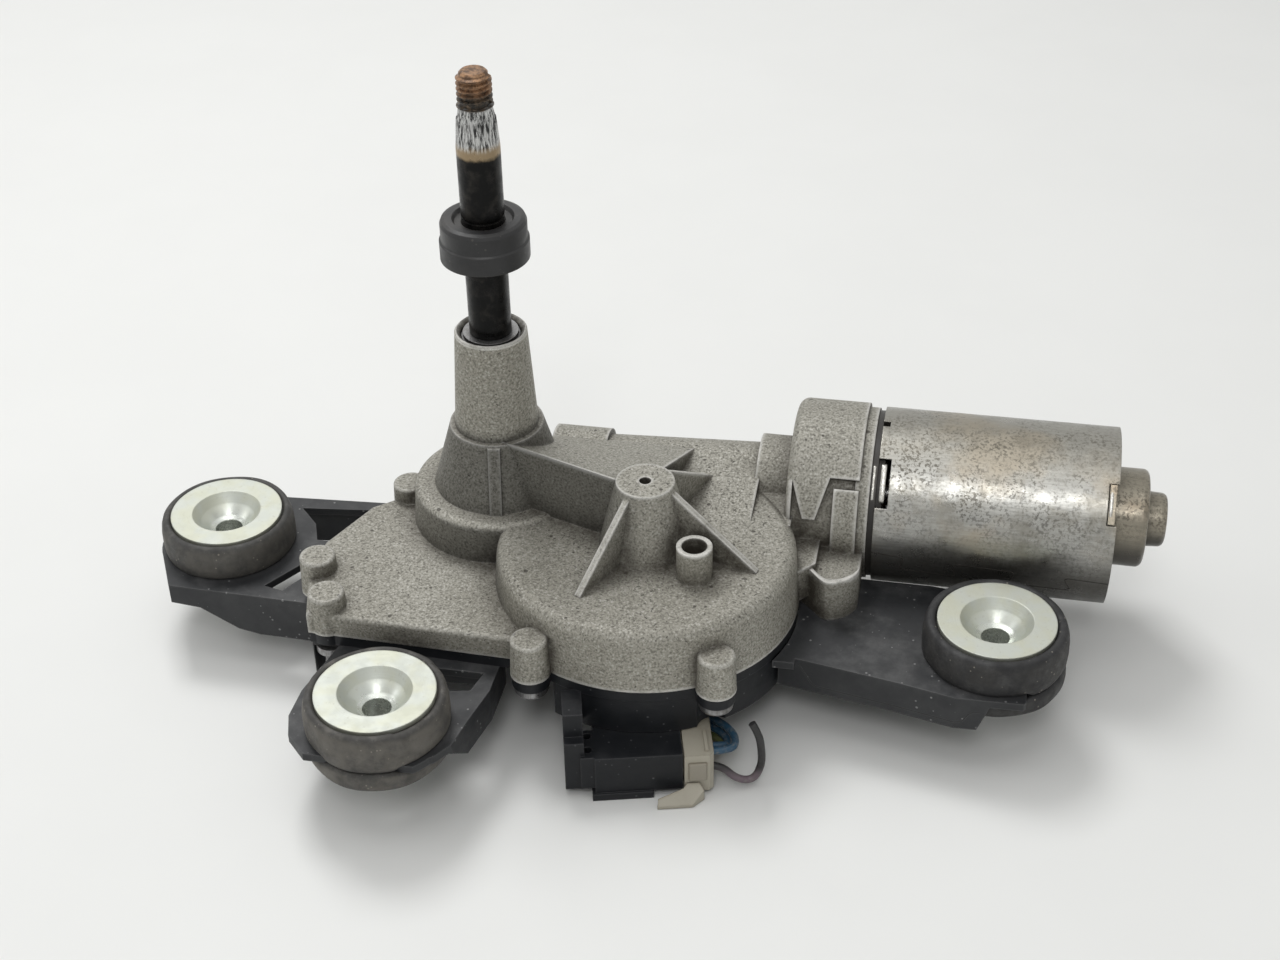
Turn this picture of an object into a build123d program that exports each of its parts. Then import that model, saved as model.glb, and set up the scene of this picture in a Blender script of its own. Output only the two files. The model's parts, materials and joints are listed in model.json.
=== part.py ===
from build123d import *
from math import acos, atan2, cos, degrees, hypot, pi, radians, sin, sqrt, tan
import os

# Wiper motor: a cast gear housing with an upright wiper spindle, a worm and
# wheel gear, a crank linkage, a lying brush motor, a three-armed bracket on
# rubber dampers and a plastic base cover with the harness connector.
#
# Frame: millimetres, +Z up along the spindle, +X along the motor axis, origin
# where the spindle axis meets the flat face that the part rests on.

# Heights above the resting face
FLANGE_Z = 25.0          # joint face between the housing and its cover
COVER_FLANGE = 3.0       # thickness of the cover's rim
BRACKET_SKIN = 2.0       # thickness of the bracket's top skin
RUNNING = 0.05           # radial clearance of shafts and pins in their bores
END_PLAY = 0.3           # clearance between moving pieces side by side
WALL = 2.3               # cast wall of the housing

# Spindle, its tower and its seal collar
SPINDLE_R = 5.0
SPINDLE_LENGTH = 124.6
THREAD_R = 4.0
THREAD_LENGTH = 8.0
THREAD_PITCH = 1.25
THREAD_DEPTH = 0.75
KNURL_LENGTH = 10.0
KNURL_TEETH = 36
KNURL_DEPTH = 0.35
PINION_SEAT_R = 3.6
TOWER_HEIGHT = 59.0      # above the joint face
TOWER_TOP_R = 8.6
TOWER_FOOT_R = 10.2
TOWER_FOOT_HEIGHT = 34.0
PEDESTAL_TOP_R = 11.4
PEDESTAL_FOOT_R = 16.5
BUSH_R = 6.5
BUSH_LENGTH = 14.0
SEAL_SEAT_R = 7.2
SEAL_SEAT_DEPTH = 4.0
SEAL_HEIGHT = 2.0
WASHER_HEIGHT = 0.6
CIRCLIP_HEIGHT = 0.8
CIRCLIP_R = 6.6
CIRCLIP_GROOVE = 0.5
MOUTH_CHAMFER = 1.0
COLLAR_R = 10.0
COLLAR_HEIGHT = 10.0
COLLAR_BAND_R = 10.4
COLLAR_BAND_HEIGHT = 4.5
COLLAR_GAP = 19.5        # from the tower's mouth up to the collar
COLLAR_EDGE = 1.2
COLLAR_UNDERCUT = 2.5
SHAFT_GROOVE_WIDTH = 0.8  # groove that marks the collar's seat
SHAFT_GROOVE_DEPTH = 0.3
SHAFT_GROOVE_GAP = 0.1    # from the collar up to the groove

# Rounds and plate of the housing
STEP_FOOT_R = 22.4
STEP_TOP_R = 21.2
STEP_HEIGHT = 16.3
WHEEL_X = 40.2
WHEEL_Y = -19.2
ROUND_R = 36.7
ROUND_TOP_R = 35.5
ROUND_HEIGHT = 15.5
ROUND_EDGE = 3.0
STEP_EDGE = 2.0
PLATE_HEIGHT = 6.0
PLATE_EDGE = 1.0
PLATE_OUTLINE = ((-36.0, -47.5), (17.0, -49.0), (17.0, 2.0), (-26.0, 2.0), (-33.0, -4.0), (-40.0, -20.0),
                 (-41.0, -30.0))
HUB_TOP_R = 6.9
HUB_FOOT_R = 11.5
HUB_HEIGHT = 33.0        # top of the wheel's boss above the joint face
HUB_HOLE_R = 1.4
RIB_WIDTH = 1.6
RIB_ENDS = ((28.5, -42.7), (67.8, -26.8), (52.5, 9.7))
SLOPE_FRONT = 10.0       # how far before the spindle the slope from the tunnel meets the round
TUBE_BOSS_AT = (53.6, -30.4)
TUBE_BOSS_R = 4.2
TUBE_BOSS_BORE_R = 3.0
TUBE_BOSS_HEIGHT = 24.0  # above the joint face

# Screw bosses round the joint
BOSS_R = 4.3
BOSS_HEIGHT = 10.0
BOSS_DRAFT = 0.4
SCREW_R = 2.0
SCREW_HEAD_R = 4.0
SCREW_HEAD_HEIGHT = 2.4
SCREW_BITE = 8.0         # screw length inside the casting
BRACKET_SCREWS = ((-31.9, -43.6), (-24.5, 2.6))
COVER_SCREWS = ((19.1, -52.5), (62.0, -51.0))
EDGE_LUG_AT = (-38.3, -30.5)
FOOT_SCREW_AT = (83.0, -9.0)
FOOT_TOP = 7.0           # above the joint face
FOOT_WAVE = ((75.0, -12.5), (79.0, -15.0), (83.5, -19.0), (87.5, -17.5), (90.4, -12.0))
FOOT_LIP = (1.4, 1.3)    # width and height

# Worm gear
WORM_HEIGHT = 10.0       # worm axis above the joint face
GEAR_MODULE = 1.24
WHEEL_TEETH = 50
WHEEL_WIDTH = 5.2
WORM_PITCH_R = 5.0
WORM_ADDENDUM = 1.0
WORM_DEDENDUM = 1.3
WORM_START_X = 25.0
WORM_LENGTH = 30.0
GEAR_BACKLASH = 0.5
WORM_PHASE = -90.0       # degrees round the shaft where the thread begins
WHEEL_RIM = 4.5
WHEEL_WEB = 3.0
WHEEL_HUB_R = 5.7
WHEEL_HUB_DROP = 2.0     # hub standing below the rim
AXLE_R = 3.5
AXLE_TOP = 27.0          # above the joint face
AXLE_CLIP_R = 5.4
PARK_DISC_R = (16.0, 27.0)
PARK_DISC_HEIGHT = 0.3

# Crank linkage below the wheel: crank pin, toothed arm, link plate, pinion
LINK_MODULE = 1.0
PINION_TEETH = 13
SECTOR_TEETH = 27
LINK_ADDENDUM = 0.8
LINK_DEDENDUM = 1.25
LINK_BACKLASH = 0.16
CRANK_RADIUS = 9.0
CRANK_PIN_R = 3.0
SECTOR_PIN_R = 3.0
LINK_THICKNESS = 1.9
LINK_END_R = 5.4
SECTOR_MARGIN = 13.0     # degrees of teeth past the last mesh point

# Motor
SHAFT_R = 3.0
TUNNEL_END_X = 10.0
TUNNEL_END_LENGTH = 14.0
TUNNEL_END_R = 10.0
TUNNEL_R = (8.6, 10.1)
TUNNEL_BORE_R = 6.8
NECK_X = 62.5
NECK_R = 12.3
BEARING_R = 8.0
BEARING_WIDTH = 6.0
END_BUSH_R = 5.5
END_BUSH_LENGTH = 7.0
BLOCK_X = 71.0
BLOCK_R = 22.2
BLOCK_LENGTH = 17.5
POCKET_DEPTH = 1.8       # pocket in the flange's front, under its upper part
POCKET_SPAN = (48.0, 118.0)   # degrees, from the top towards the front
POCKET_EDGE = 1.5
PAD_AT = 61.0            # degrees, middle of the pad and pillar left in the pocket
RIM_R = 21.2
RIM_LENGTH = 2.5
BRUSH_RIM_R = 20.6
BRUSH_RIM_WIDTH = 1.5
CAN_R = 21.6
CAN_WALL = 1.6
CAN_LENGTH = 56.5
CAP_INSET = 2.5
CAP_TAB_ANGLES = (48, 228)     # places of the sheet's notches round the motor axis
CAP_TAB_WIDTH = 10.0
CAP_NOTCH = 2.4
CLIP_NOTCH = (3.0, 12.0)      # depth and width of the notches at the flange
CAP_THICKNESS = 2.0
CAP_BOSS_R = (12.0, 7.4)
CAP_BOSS_LENGTH = (8.6, 4.8)
CAP_WALL = 1.5
MAGNET_THICKNESS = 4.8
MAGNET_LENGTH = 38.0
MAGNET_SPAN = 130.0      # degrees
AIR_GAP = 0.8
CORE_LENGTH = 32.0
CORE_SLOTS = 10
SLOT_WIDTH = 4.4
SLOT_DEPTH = 6.0
SLOT_MOUTH = 1.6
WINDING_R = (5.0, 12.8)
WINDING_LENGTH = 5.0
COMMUTATOR_R = 6.5
COMMUTATOR_LENGTH = 9.0
COMMUTATOR_SLIT = 0.5
BRUSH_WIDTH = 4.0
BRUSH_LENGTH = 6.0
SPRING_WIRE_R = 0.35
SPRING_R = 1.4
SPRING_TURNS = 4

# Rubber dampers and their sleeves
DAMPERS = {"a": (-68.5, -12.4), "b": (-11.8, -71.6), "c": (123.5, -23.8)}
RUBBER_R = 16.4
RUBBER_UPPER = 9.0
RUBBER_LOWER = 4.3
RUBBER_NECK_R = 11.0
RUBBER_EDGE = 1.0
CUP_WASHER_R = 13.8
CUP_WASHER_THICKNESS = 1.3
CUP_R = 8.5
CUP_DEPTH = 4.6
SLEEVE_BORE_R = 3.3
SLEEVE_WALL = 1.5
SLEEVE_FOOT_R = 8.0
SLEEVE_FOOT = 1.0

# Bracket
BRACKET_WALL = 2.0
PAD_R = 17.3
ARM_A_SKIRT = 12.0
ARM_B_SKIRT = 9.0
ARM_C_SKIRT = 9.0
ARM_A_OUTLINE = ((-84.0, -20.0), (-77.5, -32.5), (-40.0, -33.5), (-36.0, -46.0), (-20.0, -46.0), (-20.0, 10.5),
                 (-60.8, 8.0), (-74.0, 3.5))
ARM_B_OUTLINE = ((-28.0, -44.0), (-32.4, -64.3), (-32.6, -73.0), (-30.6, -79.2), (-25.5, -84.5), (-1.9, -84.0),
                 (3.5, -80.5), (6.4, -76.3), (8.0, -67.7), (10.4, -57.1), (10.6, -44.0))
ARM_C_OUTLINE = ((74.0, -33.5), (101.9, -38.8), (115.6, -42.0), (131.0, -41.6), (139.5, -30.0), (136.0, -11.0),
                 (124.0, -4.0), (100.0, -0.8), (74.0, -0.8))
SPINE_OUTLINE = ((-32.0, -46.0), (11.0, -46.0), (11.0, -36.0), (78.0, -36.0), (78.0, -0.8), (70.0, 3.0),
                 (66.0, 27.0), (-10.0, 27.0), (-18.0, 21.0), (-24.0, 11.0))
ARM_A_WINDOWS = (((-55.0, 4.0), (-32.5, 6.5), (-41.4, -3.0), (-42.5, -8.5), (-47.0, -8.5), (-49.5, -2.0)),
                 ((-54.0, -28.6), (-49.0, -29.8), (-45.5, -23.6), (-47.5, -18.5)))
ARM_B_WINDOWS = (((-4.0, -51.5), (7.6, -51.5), (5.9, -57.8), (1.4, -58.8)),)
ARM_A_UNDERSIDE = ((-95.0, 4.0), (-70.0, 5.8), (-60.5, 11.0), (-55.0, 12.0))   # (x, depth of the skirt)
ARM_B_UNDERSIDE = ((-95.0, 2.0), (-77.0, 2.0), (-69.0, 9.0))    # (y, depth)
ARM_C_UNDERSIDE = ((150.0, 2.0), (123.5, 2.0), (121.0, 9.0))    # (x, depth)
ARM_C_END = 131.5        # where the right arm's plate stops, inside the rubber's groove
FEET = ((86.0, -14.0, 12.0, 10.0), (53.0, 18.5, 12.0, 7.5))

# Base cover
COVER_SKIN = 2.2
COVER_INSET = 0.3
PAN_R = 36.2
PAN_LEFT_X = 24.2
PAN_DEPTH = 9.5          # below the cover's rim
WELL_R = 33.0
WELL_FRONT_Y = -14.0
WELL_LEFT_X = -12.0
BOARD_HEIGHT = 4.0       # board's underside above the pan's outer face
BOARD_THICKNESS = 1.6
GASKET_INSET = 1.6
GASKET_WIDTH = 0.6
GASKET_HEIGHT = 0.8

# Connector, in its own directions: x along the plug, y back to the cover
CONNECTOR_AT = (36.4, -65.6)
CONNECTOR_TURN = 14.5
SHELL_LENGTH = 20.2
SHELL_DEPTH = 13.0
SHELL_TOP = 12.3
SHELL_LIP = 1.8
SHELL_WALL = 1.6
SOCKET_DEPTH = 12.0
RAIL_FRONT = (-6.8, 1.5, 2.2, -2.2, 4.5, 16.0)
RAIL_SIDE = (-6.8, 4.0, 14.0, -2.2, 13.0, 22.5)
PIN_COUNT = 5
PIN_SIZE = 0.8
PIN_PITCH = 1.5
PLUG_HEAD = 6.8
PLUG_DEPTH = 13.5
PLUG_PLAY = 0.3
LATCH_FRONT = -4.6
LATCH_BACK = -0.7
LATCH_RISE = 4.2
LOCK_X = (1.0, 5.1)       # from the shell's mouth
LOCK_Z = (4.8, 9.9)
WIRE_R = 0.9
WIRE_SOCKET = 2.0        # depth of the plug's wire holes
WIRE_CLEAR = 0.15
WIRE_HOLES = {"blue_a": (2.9, 10.2), "blue_b": (5.0, 9.9), "green": (6.6, 7.4), "white": (9.6, 4.4),
              "violet": (2.6, 6.2)}     # across the plug and up


def disc(radius, z0, z1, x=0.0, y=0.0):
    """Upright cylinder from z0 to z1."""
    return Pos(x, y, z0) * Cylinder(radius, z1 - z0, align=(Align.CENTER, Align.CENTER, Align.MIN))


def tapered(r0, r1, z0, z1, x=0.0, y=0.0):
    """Upright cone, radius r0 at z0 and r1 at z1."""
    return Pos(x, y, z0) * Cone(r0, r1, z1 - z0, align=(Align.CENTER, Align.CENTER, Align.MIN))


def ring(r_out, r_in, z0, z1, x=0.0, y=0.0):
    """Upright ring."""
    return disc(r_out, z0, z1, x, y) - disc(r_in, z0 - 1, z1 + 1, x, y)


def block(x0, y0, z0, x1, y1, z1):
    """Box between two corners."""
    return Pos(x0, y0, z0) * Box(x1 - x0, y1 - y0, z1 - z0, align=(Align.MIN, Align.MIN, Align.MIN))


def outline(points):
    """Flat face inside a closed row of points."""
    return make_face(Polyline(*points, close=True))


def prism(face, z0, z1):
    """Upright solid over a flat face."""
    return extrude(Pos(0, 0, z0) * face, z1 - z0)


def round_face(radius, x=0.0, y=0.0):
    """Flat round face."""
    return Pos(x, y) * Circle(radius)


def upright(points, x, y, angle, thickness):
    """Plate standing over the line through (x, y) at an angle; points are (along, height)."""
    a = radians(angle)
    plane = Plane(origin=(x, y, 0), x_dir=(cos(a), sin(a), 0), z_dir=(sin(a), -cos(a), 0))
    return extrude(plane * outline(points), thickness / 2, both=True)


def turned(profile):
    """Solid of revolution about the spindle axis; profile points are (radius, height)."""
    face = make_face(Polyline(*[(r, 0, z) for r, z in profile], close=True))
    return revolve(face, Axis.Z)


def polar(radius, angle, x=0.0, y=0.0):
    """Point at an angle in degrees about (x, y)."""
    return (x + radius * cos(radians(angle)), y + radius * sin(radians(angle)))


# Derived places
WHEEL_PITCH_R = GEAR_MODULE * WHEEL_TEETH / 2
MOTOR_Y = WHEEL_Y + WHEEL_PITCH_R + WORM_PITCH_R
MOTOR_Z = FLANGE_Z + WORM_HEIGHT
WORM_PITCH = pi * GEAR_MODULE
WORM_CREST_R = WORM_PITCH_R + WORM_ADDENDUM
WORM_CORE_R = WORM_PITCH_R - WORM_DEDENDUM
TOWER_TOP = FLANGE_Z + TOWER_HEIGHT
COLLAR_TOP = TOWER_TOP + COLLAR_GAP + COLLAR_HEIGHT
ROUND_TOP = FLANGE_Z + ROUND_HEIGHT
STEP_TOP = FLANGE_Z + STEP_HEIGHT
PLATE_TOP = FLANGE_Z + PLATE_HEIGHT
HUB_TOP = FLANGE_Z + HUB_HEIGHT
ROUND_ROOF = ROUND_TOP - WALL
STEP_ROOF = STEP_TOP - WALL
PLATE_ROOF = PLATE_TOP - WALL + 0.1
COVER_BOTTOM = FLANGE_Z - COVER_FLANGE
BRACKET_BOTTOM = COVER_BOTTOM - BRACKET_SKIN
ROUND_BORE_R = ROUND_R - WALL - 0.2
STEP_BORE_R = STEP_FOOT_R - WALL - 0.2

SECTOR_TOP = PLATE_ROOF - END_PLAY
SECTOR_BOTTOM = SECTOR_TOP - LINK_THICKNESS
LINK_TOP = SECTOR_BOTTOM - END_PLAY
LINK_BOTTOM = LINK_TOP - LINK_THICKNESS
POCKET_FLOOR = LINK_BOTTOM - END_PLAY - 0.1
SPINDLE_TOP = LINK_BOTTOM + SPINDLE_LENGTH
THRUST_WASHER_BOTTOM = SECTOR_TOP + END_PLAY + 0.1
BUSH_BOTTOM = THRUST_WASHER_BOTTOM + 1.0

WHEEL_MID = MOTOR_Z
WHEEL_BOTTOM = WHEEL_MID - WHEEL_WIDTH / 2
WHEEL_TOP = WHEEL_MID + WHEEL_WIDTH / 2
WEB_BOTTOM = WHEEL_MID - WHEEL_WEB / 2
WEB_TOP = WHEEL_MID + WHEEL_WEB / 2
HUB_BOTTOM = WHEEL_BOTTOM - WHEEL_HUB_DROP

PINION_R = LINK_MODULE * PINION_TEETH / 2
SECTOR_R = LINK_MODULE * SECTOR_TEETH / 2
LINK_LENGTH = PINION_R + SECTOR_R
GROUND = hypot(WHEEL_X, WHEEL_Y)
ARM_LENGTH = sqrt(GROUND ** 2 + LINK_LENGTH ** 2)
GROUND_ANGLE = degrees(atan2(WHEEL_Y, WHEEL_X))


def link_angle(reach):
    """Angle of the link plate when the sector pin is this far from the wheel's axis."""
    return GROUND_ANGLE - degrees(acos((GROUND ** 2 + LINK_LENGTH ** 2 - reach ** 2) / (2 * GROUND * LINK_LENGTH)))


def arm_angle(link):
    """Angle of the toothed arm, in line with the wheel's axis at both ends of the sweep."""
    x, y = polar(LINK_LENGTH, link)
    return degrees(atan2(WHEEL_Y - y, WHEEL_X - x))


LINK_REST = link_angle(ARM_LENGTH + CRANK_RADIUS)
LINK_END = link_angle(ARM_LENGTH - CRANK_RADIUS)
ARM_REST = arm_angle(LINK_REST)
ARM_END = arm_angle(LINK_END)
SECTOR_AT = polar(LINK_LENGTH, LINK_REST)
CRANK_AT = polar(ARM_LENGTH, ARM_REST, *SECTOR_AT)
LINK_SWING = LINK_END - LINK_REST
ARM_SWING = ARM_END - ARM_REST - LINK_SWING
SWEEP = LINK_SWING - ARM_SWING * SECTOR_TEETH / PINION_TEETH

BLOCK_END = BLOCK_X + BLOCK_LENGTH
RIM_END = BLOCK_END + RIM_LENGTH
CAN_X = RIM_END + BRUSH_RIM_WIDTH
CAN_END = CAN_X + CAN_LENGTH
CAN_BORE_R = CAN_R - CAN_WALL
CAP_X = CAN_END - CAP_INSET
CAP_FACE = CAP_X + CAP_THICKNESS
CAP_STEP = CAP_FACE + CAP_BOSS_LENGTH[0]
CAP_END = CAP_STEP + CAP_BOSS_LENGTH[1]
CORE_X = (CAN_X + CAP_X - CORE_LENGTH) / 2 + 1.5
CORE_R = CAN_BORE_R - MAGNET_THICKNESS - AIR_GAP
BRUSH_CAVITY_R = BLOCK_R - 3.6
COMMUTATOR_X = RIM_END - COMMUTATOR_LENGTH

DAMPER_SLOT_TOP = COVER_BOTTOM
RUBBER_TOP = DAMPER_SLOT_TOP + RUBBER_UPPER
RUBBER_BOTTOM = BRACKET_BOTTOM - RUBBER_LOWER
CUP_TOP = RUBBER_TOP + 0.4
PAN_BOTTOM = COVER_BOTTOM - PAN_DEPTH
BOARD_Z = PAN_BOTTOM + BOARD_HEIGHT
MOTOR_PLACE = Pos(0, MOTOR_Y, MOTOR_Z) * Rot(0, 90, 0)
CONNECTOR = Pos(CONNECTOR_AT[0], CONNECTOR_AT[1], 0) * Rot(0, 0, CONNECTOR_TURN)


def lying(solid):
    """Turn a solid drawn upright so that its height runs along the motor axis."""
    return MOTOR_PLACE * solid


def toothed(teeth, module, addendum, dedendum, backlash, first, count):
    """Points of involute teeth about the origin, tooth i centred at first + i pitches, in degrees."""
    pitch_r = module * teeth / 2
    base_r = pitch_r * cos(radians(20))
    tip_r = pitch_r + addendum
    root_r = pitch_r - dedendum
    start_r = max(base_r, root_r)
    half = pi / (2 * teeth) - backlash / (2 * pitch_r)
    at_pitch = tan(radians(20)) - radians(20)
    flank = []
    for i in range(5):
        r = start_r + (tip_r - start_r) * i / 4
        a = acos(min(1.0, base_r / r))
        flank.append((r, degrees(half + at_pitch - (tan(a) - a))))
    points = []
    for i in range(count):
        centre = first + i * 360.0 / teeth
        points.append(polar(root_r, centre - flank[0][1]))
        points += [polar(r, centre - a) for r, a in flank]
        points += [polar(r, centre + a) for r, a in reversed(flank)]
        points.append(polar(root_r, centre + flank[0][1]))
    return points


def boss(at, top=BOSS_HEIGHT, z0=FLANGE_Z):
    """Screw boss of the casting, drafted towards its top, with a softened edge."""
    x, y = at
    body = tapered(BOSS_R + BOSS_DRAFT, BOSS_R, z0, FLANGE_Z + top, x, y)
    return fillet(body.edges().group_by(Axis.Z)[-1], 0.6)


def joint_outline(inset):
    """Face of the joint between the housing and its cover, without the screw ears."""
    plate = offset(outline(PLATE_OUTLINE), -inset, kind=Kind.INTERSECTION)
    return plate + round_face(STEP_FOOT_R - inset) + round_face(ROUND_R - inset, WHEEL_X, WHEEL_Y)


def cover_outline(inset):
    """Face of the joint with the screw ears."""
    face = joint_outline(inset)
    for x, y in BRACKET_SCREWS + COVER_SCREWS:
        face += round_face(BOSS_R + BOSS_DRAFT - inset, x, y)
    return face


def linkage_face():
    """Plan of the hollow under the low plate, where the linkage swings."""
    plate = offset(outline(PLATE_OUTLINE), -WALL, kind=Kind.INTERSECTION)
    for x, y in BRACKET_SCREWS:
        plate -= round_face(BOSS_R + BOSS_DRAFT, x, y)
    return plate


def foot_face():
    """Plan of the flange's foot, with its wavy front edge."""
    first, last = FOOT_WAVE[0], FOOT_WAVE[-1]
    back = MOTOR_Y - 8
    return make_face(Curve() + [Spline(*FOOT_WAVE), Polyline(last, (last[0], back), (first[0], back), first)])


def flange_pocket():
    """Shallow pocket low in the flange's front, round a drafted pad and a pillar, drawn upright."""
    first, last = POCKET_SPAN
    sector = outline([(0, 0)] + [polar(60, 180 + a) for a in (first, (first + last) / 2, last)])
    hollow = ring(BLOCK_R + 1, BLOCK_R - POCKET_DEPTH, BLOCK_X + POCKET_EDGE, BLOCK_END) & prism(sector, BLOCK_X, BLOCK_END)
    a = radians(180 + PAD_AT)
    plane = Plane(origin=(0, 0, 0), x_dir=(0, 0, 1), z_dir=(cos(a), sin(a), 0))
    pad = [(BLOCK_X + 1, 5.2), (BLOCK_X + 10.5, 5.2), (BLOCK_X + 7.5, -5.5), (BLOCK_X + 4.5, -5.5)]
    pillar = [(BLOCK_X + 11.5, 2.5), (BLOCK_END, 2.5), (BLOCK_END, -14), (BLOCK_X + 11.5, -14)]
    for points in (pad, pillar):
        hollow -= extrude(plane * outline(points), BLOCK_R + 5)
    return hollow


def gear_housing():
    body = prism(outline(PLATE_OUTLINE), FLANGE_Z, PLATE_TOP)
    body = fillet(body.edges().group_by(Axis.Z)[-1], PLATE_EDGE)

    step = tapered(STEP_FOOT_R, STEP_TOP_R, FLANGE_Z, STEP_TOP)
    body += fillet(step.edges().group_by(Axis.Z)[-1], STEP_EDGE)
    wheel_round = tapered(ROUND_R, ROUND_TOP_R, FLANGE_Z, ROUND_TOP, WHEEL_X, WHEEL_Y)
    body += fillet(wheel_round.edges().group_by(Axis.Z)[-1], ROUND_EDGE)

    # Tower over its flared pedestal
    foot_z = FLANGE_Z + TOWER_FOOT_HEIGHT
    body += tapered(PEDESTAL_FOOT_R, PEDESTAL_TOP_R, STEP_TOP - 1, foot_z - 1)
    tower = tapered(TOWER_FOOT_R, TOWER_TOP_R, foot_z - 2, TOWER_TOP)
    body += chamfer(tower.edges().group_by(Axis.Z)[-1], 0.6)
    body += upright([(PEDESTAL_TOP_R - 3, STEP_TOP), (PEDESTAL_FOOT_R + 0.6, STEP_TOP - 1),
                     (PEDESTAL_TOP_R + 0.6, foot_z - 1.5), (PEDESTAL_TOP_R - 3, foot_z - 1.5)], 0, 0, -80, 3.0)

    # Wedge from the tower to the wheel's boss, sloping back to the worm tunnel
    deck_back = MOTOR_Z + TUNNEL_R[0] + 0.6
    back_y = MOTOR_Y - 1.0
    front = make_face(Polyline((2, -9, ROUND_TOP - 2), (2, -9, foot_z - 0.6), (WHEEL_X - 2, WHEEL_Y - 2, HUB_TOP - 0.5),
                               (WHEEL_X - 2, WHEEL_Y - 2, ROUND_TOP - 2), close=True))
    back = make_face(Polyline((TUNNEL_END_X + 2, back_y, ROUND_TOP - 2), (TUNNEL_END_X + 2, back_y, deck_back),
                              (WHEEL_X + 6, back_y, deck_back), (WHEEL_X + 6, back_y, ROUND_TOP - 2), close=True))
    body += loft([front, back], ruled=True)

    # Deck between the round and the tunnel, and the slope above it
    slope_x = (WHEEL_X + NECK_X) / 2
    body += upright([(0, ROUND_TOP - 3), (0, deck_back), (MOTOR_Y + SLOPE_FRONT, ROUND_TOP - 0.3),
                     (MOTOR_Y + SLOPE_FRONT, ROUND_TOP - 3)], slope_x, MOTOR_Y, -90, NECK_X - WHEEL_X + 2)
    body += prism(outline([(TUNNEL_END_X, MOTOR_Y - 14), (BLOCK_X + 2, MOTOR_Y - 24), (BLOCK_X + 2, MOTOR_Y + 2),
                           (TUNNEL_END_X, MOTOR_Y + 2)]), FLANGE_Z, ROUND_TOP - 0.5)

    # Boss of the wheel's axle, its ribs and the small tube
    body += tapered(HUB_FOOT_R, HUB_TOP_R, ROUND_TOP - 1, HUB_TOP, WHEEL_X, WHEEL_Y)
    for x, y in RIB_ENDS:
        reach = hypot(x - WHEEL_X, y - WHEEL_Y)
        angle = degrees(atan2(y - WHEEL_Y, x - WHEEL_X))
        body += upright([(0, ROUND_TOP - 1), (0, HUB_TOP - 1), (HUB_TOP_R, HUB_TOP - 1), (reach, ROUND_TOP + 0.3),
                         (reach, ROUND_TOP - 1)], WHEEL_X, WHEEL_Y, angle, RIB_WIDTH)
    body += disc(TUBE_BOSS_R, ROUND_TOP - 1, FLANGE_Z + TUBE_BOSS_HEIGHT, *TUBE_BOSS_AT)

    # Worm tunnel, bearing neck, motor flange
    body += lying(disc(TUNNEL_END_R, TUNNEL_END_X, TUNNEL_END_X + TUNNEL_END_LENGTH))
    body += lying(tapered(*TUNNEL_R, TUNNEL_END_X + TUNNEL_END_LENGTH - 1, NECK_X + 1))
    body += lying(disc(NECK_R, NECK_X, BLOCK_X + 1))
    flange = lying(disc(BLOCK_R, BLOCK_X, BLOCK_END))
    body += fillet(flange.edges().sort_by(Axis.X)[0], 2.5) - lying(flange_pocket())
    body += lying(disc(RIM_R, BLOCK_END - 1, RIM_END))

    # Foot of the flange that stands on the bracket
    foot_x, foot_y = FOOT_SCREW_AT
    face = foot_face()
    lip, lip_height = FOOT_LIP
    foot = prism(face, COVER_BOTTOM, FLANGE_Z + FOOT_TOP)
    edge = prism(face, FLANGE_Z + FOOT_TOP - 1, FLANGE_Z + FOOT_TOP + lip_height)
    foot += edge - Pos(0, lip, 0) * prism(face, FLANGE_Z, FLANGE_Z + FOOT_TOP + lip_height + 1)
    body += foot - disc(ROUND_R, COVER_BOTTOM - 1, FLANGE_Z, WHEEL_X, WHEEL_Y)
    body += prism(outline([(WHEEL_X + 24, -30), (foot_x - 3, foot_y - 4), (foot_x - 3, MOTOR_Y - 8),
                           (BLOCK_X - 8, MOTOR_Y - 8)]), FLANGE_Z, FLANGE_Z + 9)

    # Screw bosses round the joint
    for at in BRACKET_SCREWS + COVER_SCREWS + (EDGE_LUG_AT,):
        body += boss(at)

    # Hollow for the wheel, the linkage and the spindle's lower bush
    body -= prism(linkage_face(), FLANGE_Z - 5, PLATE_ROOF)
    body -= disc(STEP_BORE_R, FLANGE_Z - 5, STEP_ROOF)
    wheel_well = disc(ROUND_BORE_R, FLANGE_Z - 5, ROUND_ROOF, WHEEL_X, WHEEL_Y)
    for at in BRACKET_SCREWS + COVER_SCREWS:
        wheel_well -= disc(SCREW_R + WALL, FLANGE_Z - 5, ROUND_ROOF, *at)
    body -= wheel_well
    body += disc(BUSH_R + WALL, BUSH_BOTTOM, STEP_TOP - 1)

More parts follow.
